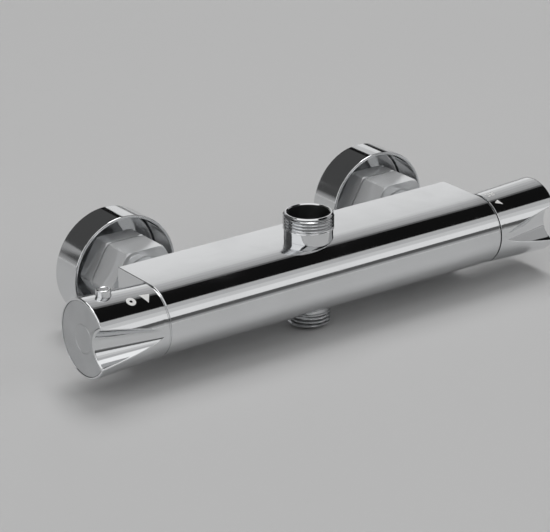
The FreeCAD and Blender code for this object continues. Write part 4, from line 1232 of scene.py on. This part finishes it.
def strip_box(name, glow, wide, span, across, away):
    """A soft box parallel to the bar.  Its span counts degrees from the front up over the top."""
    middle = math.radians(sum(span) / 2)
    inwards = Vector((0, math.cos(middle), -math.sin(middle)))
    tall = 2 * away * math.tan(math.radians(span[1] - span[0]) / 2)
    soft_box(name, glow, wide, tall, Vector((across, 0, 0)) - inwards * away, inwards)


class SHOWER_OT_stage(bpy.types.Operator):
    """The pale floor, the soft lights and the camera"""
    bl_idname = "shower.stage"
    bl_label = "Stage"

    def execute(self, context):
        have = sizes("stage_sizes")
        self.ground(have)
        self.lights(have)
        self.camera()
        context.scene.view_settings.view_transform = "Standard"
        return {"FINISHED"}

    def ground(self, have):
        bpy.ops.object.select_all(action="DESELECT")
        bpy.ops.mesh.primitive_grid_add(
            x_subdivisions=8, y_subdivisions=8, size=have.floor_size,
            location=(0, 0, FLANGE.low.z - have.floor_drop))
        ground = bpy.context.active_object
        ground.name = "pale_floor"
        finish = Finish("pale_floor")
        cloud = finish.noise(3, 3)
        tone = finish.tint(cloud, have.pale, dimmed(have.pale, 0.97))
        east, north, _ = finish.parts()
        reach = (east * east + north * north) ** 0.5
        straight, mirrored = finish.seen()
        far = finish.steps(reach, 0.8, 3.6) * finish.maths("MAXIMUM", straight, mirrored)
        finish.feed(finish.shader.inputs["Emission Color"], finish.tint(far, (0, 0, 0), have.horizon))
        finish.shader.inputs["Emission Strength"].default_value = 1
        ground.data.materials.append(finish.paint(tone, 0.85, 0.0))

    def lights(self, have):
        room = Finish("room", "worlds", "Background", "Generated")
        _, _, up = room.parts()
        straight, mirrored = room.seen()
        shown = room.maths("MAXIMUM", straight, mirrored * (1 - room.steps(up, 0.0, 0.12)))
        room.feed(room.shader.inputs["Color"], room.tint(shown, dimmed((1, 1, 1), have.room), have.horizon))
        room.shader.inputs["Strength"].default_value = 1
        bpy.context.scene.world = room.material
        for span, glow in WINDOW_STRIPS:
            strip_box("window", glow, 0.95, span, 2.03, 3.0)
        for span, glow in FRONT_STRIPS:
            strip_box("front", glow, 7.0, span, 2.2, 3.0)
        strip_box("overhead", 1.0, 3.9, (57, 108), -1.05, 3.0)
        strip_box("behind_left", 0.06, 5.4, (128, 176), -1.45, 3.0)
        soft_box("left_wall", 1.0, 4.4, 2.6, Vector((-3.0, -0.4, 1.6)), Vector((1, 0, 0)))
        soft_box("right_wall", 0.35, 2.6, 2.2, Vector((3.0, -0.7, 1.3)), Vector((-1, 0, 0)))
        soft_box("low_back", 0.30, 3.2, 1.0, Vector((-0.7, 3.2, 0.75)), Vector((0, -1, 0)))
        strip_box("key", 4.4, 1.2, (88, 127), 0.75, 3.0)

    def camera(self):
        camera = bpy.data.cameras.new("view")
        camera.sensor_width = 36
        camera.lens = 154.2
        made = bpy.data.objects.new("view", camera)
        target = Vector((-12.64, -50.0, -1.31)) * MM
        azimuth, elevation, roll = math.radians(-35.917), math.radians(21.808), math.radians(-0.3)
        back = Vector((
            math.sin(azimuth) * math.cos(elevation), -math.cos(azimuth) * math.cos(elevation),
            math.sin(elevation)))
        made.location = target + back * 1.1094
        made.rotation_mode = "QUATERNION"
        made.rotation_quaternion = (
            (-back).to_track_quat("-Z", "Y") @ Matrix.Rotation(roll, 3, "Z").to_quaternion())
        camera.clip_start = 0.01
        bpy.context.scene.collection.objects.link(made)
        bpy.context.scene.camera = made


# ------------------------------------------------------------ panel, registration and run
OPERATORS = (
    SHOWER_OT_inner_pieces, SHOWER_OT_body, SHOWER_OT_handles, SHOWER_OT_end_caps,
    SHOWER_OT_stop_button, SHOWER_OT_outlets, SHOWER_OT_unions, SHOWER_OT_marks, SHOWER_OT_springs,
    SHOWER_OT_stage)


class SHOWER_PT_valve(bpy.types.Panel):
    """Sizes, colours and pieces of the shower valve"""
    bl_idname = "SHOWER_PT_valve"
    bl_label = "Shower valve"
    bl_space_type = "VIEW_3D"
    bl_region_type = "UI"
    bl_category = "Shower valve"

    def draw(self, context):
        for group in GROUPS:
            box = self.layout.box()
            for key in GROUPS[group].__annotations__:
                box.prop(getattr(context.scene, group), key)
        for operator in OPERATORS:
            self.layout.operator(operator.bl_idname)


def register():
    for group, kind in GROUPS.items():
        bpy.utils.register_class(kind)
        setattr(bpy.types.Scene, group, PointerProperty(type=kind))
    for kind in OPERATORS + (SHOWER_PT_valve,):
        bpy.utils.register_class(kind)


def unregister():
    for kind in reversed(OPERATORS + (SHOWER_PT_valve,)):
        bpy.utils.unregister_class(kind)
    for group, kind in GROUPS.items():
        delattr(bpy.types.Scene, group)
        bpy.utils.unregister_class(kind)


def main():
    register()
    for operator in OPERATORS:
        family, action = operator.bl_idname.split(".")
        getattr(getattr(bpy.ops, family), action)()


if __name__ == "__main__":
    main()
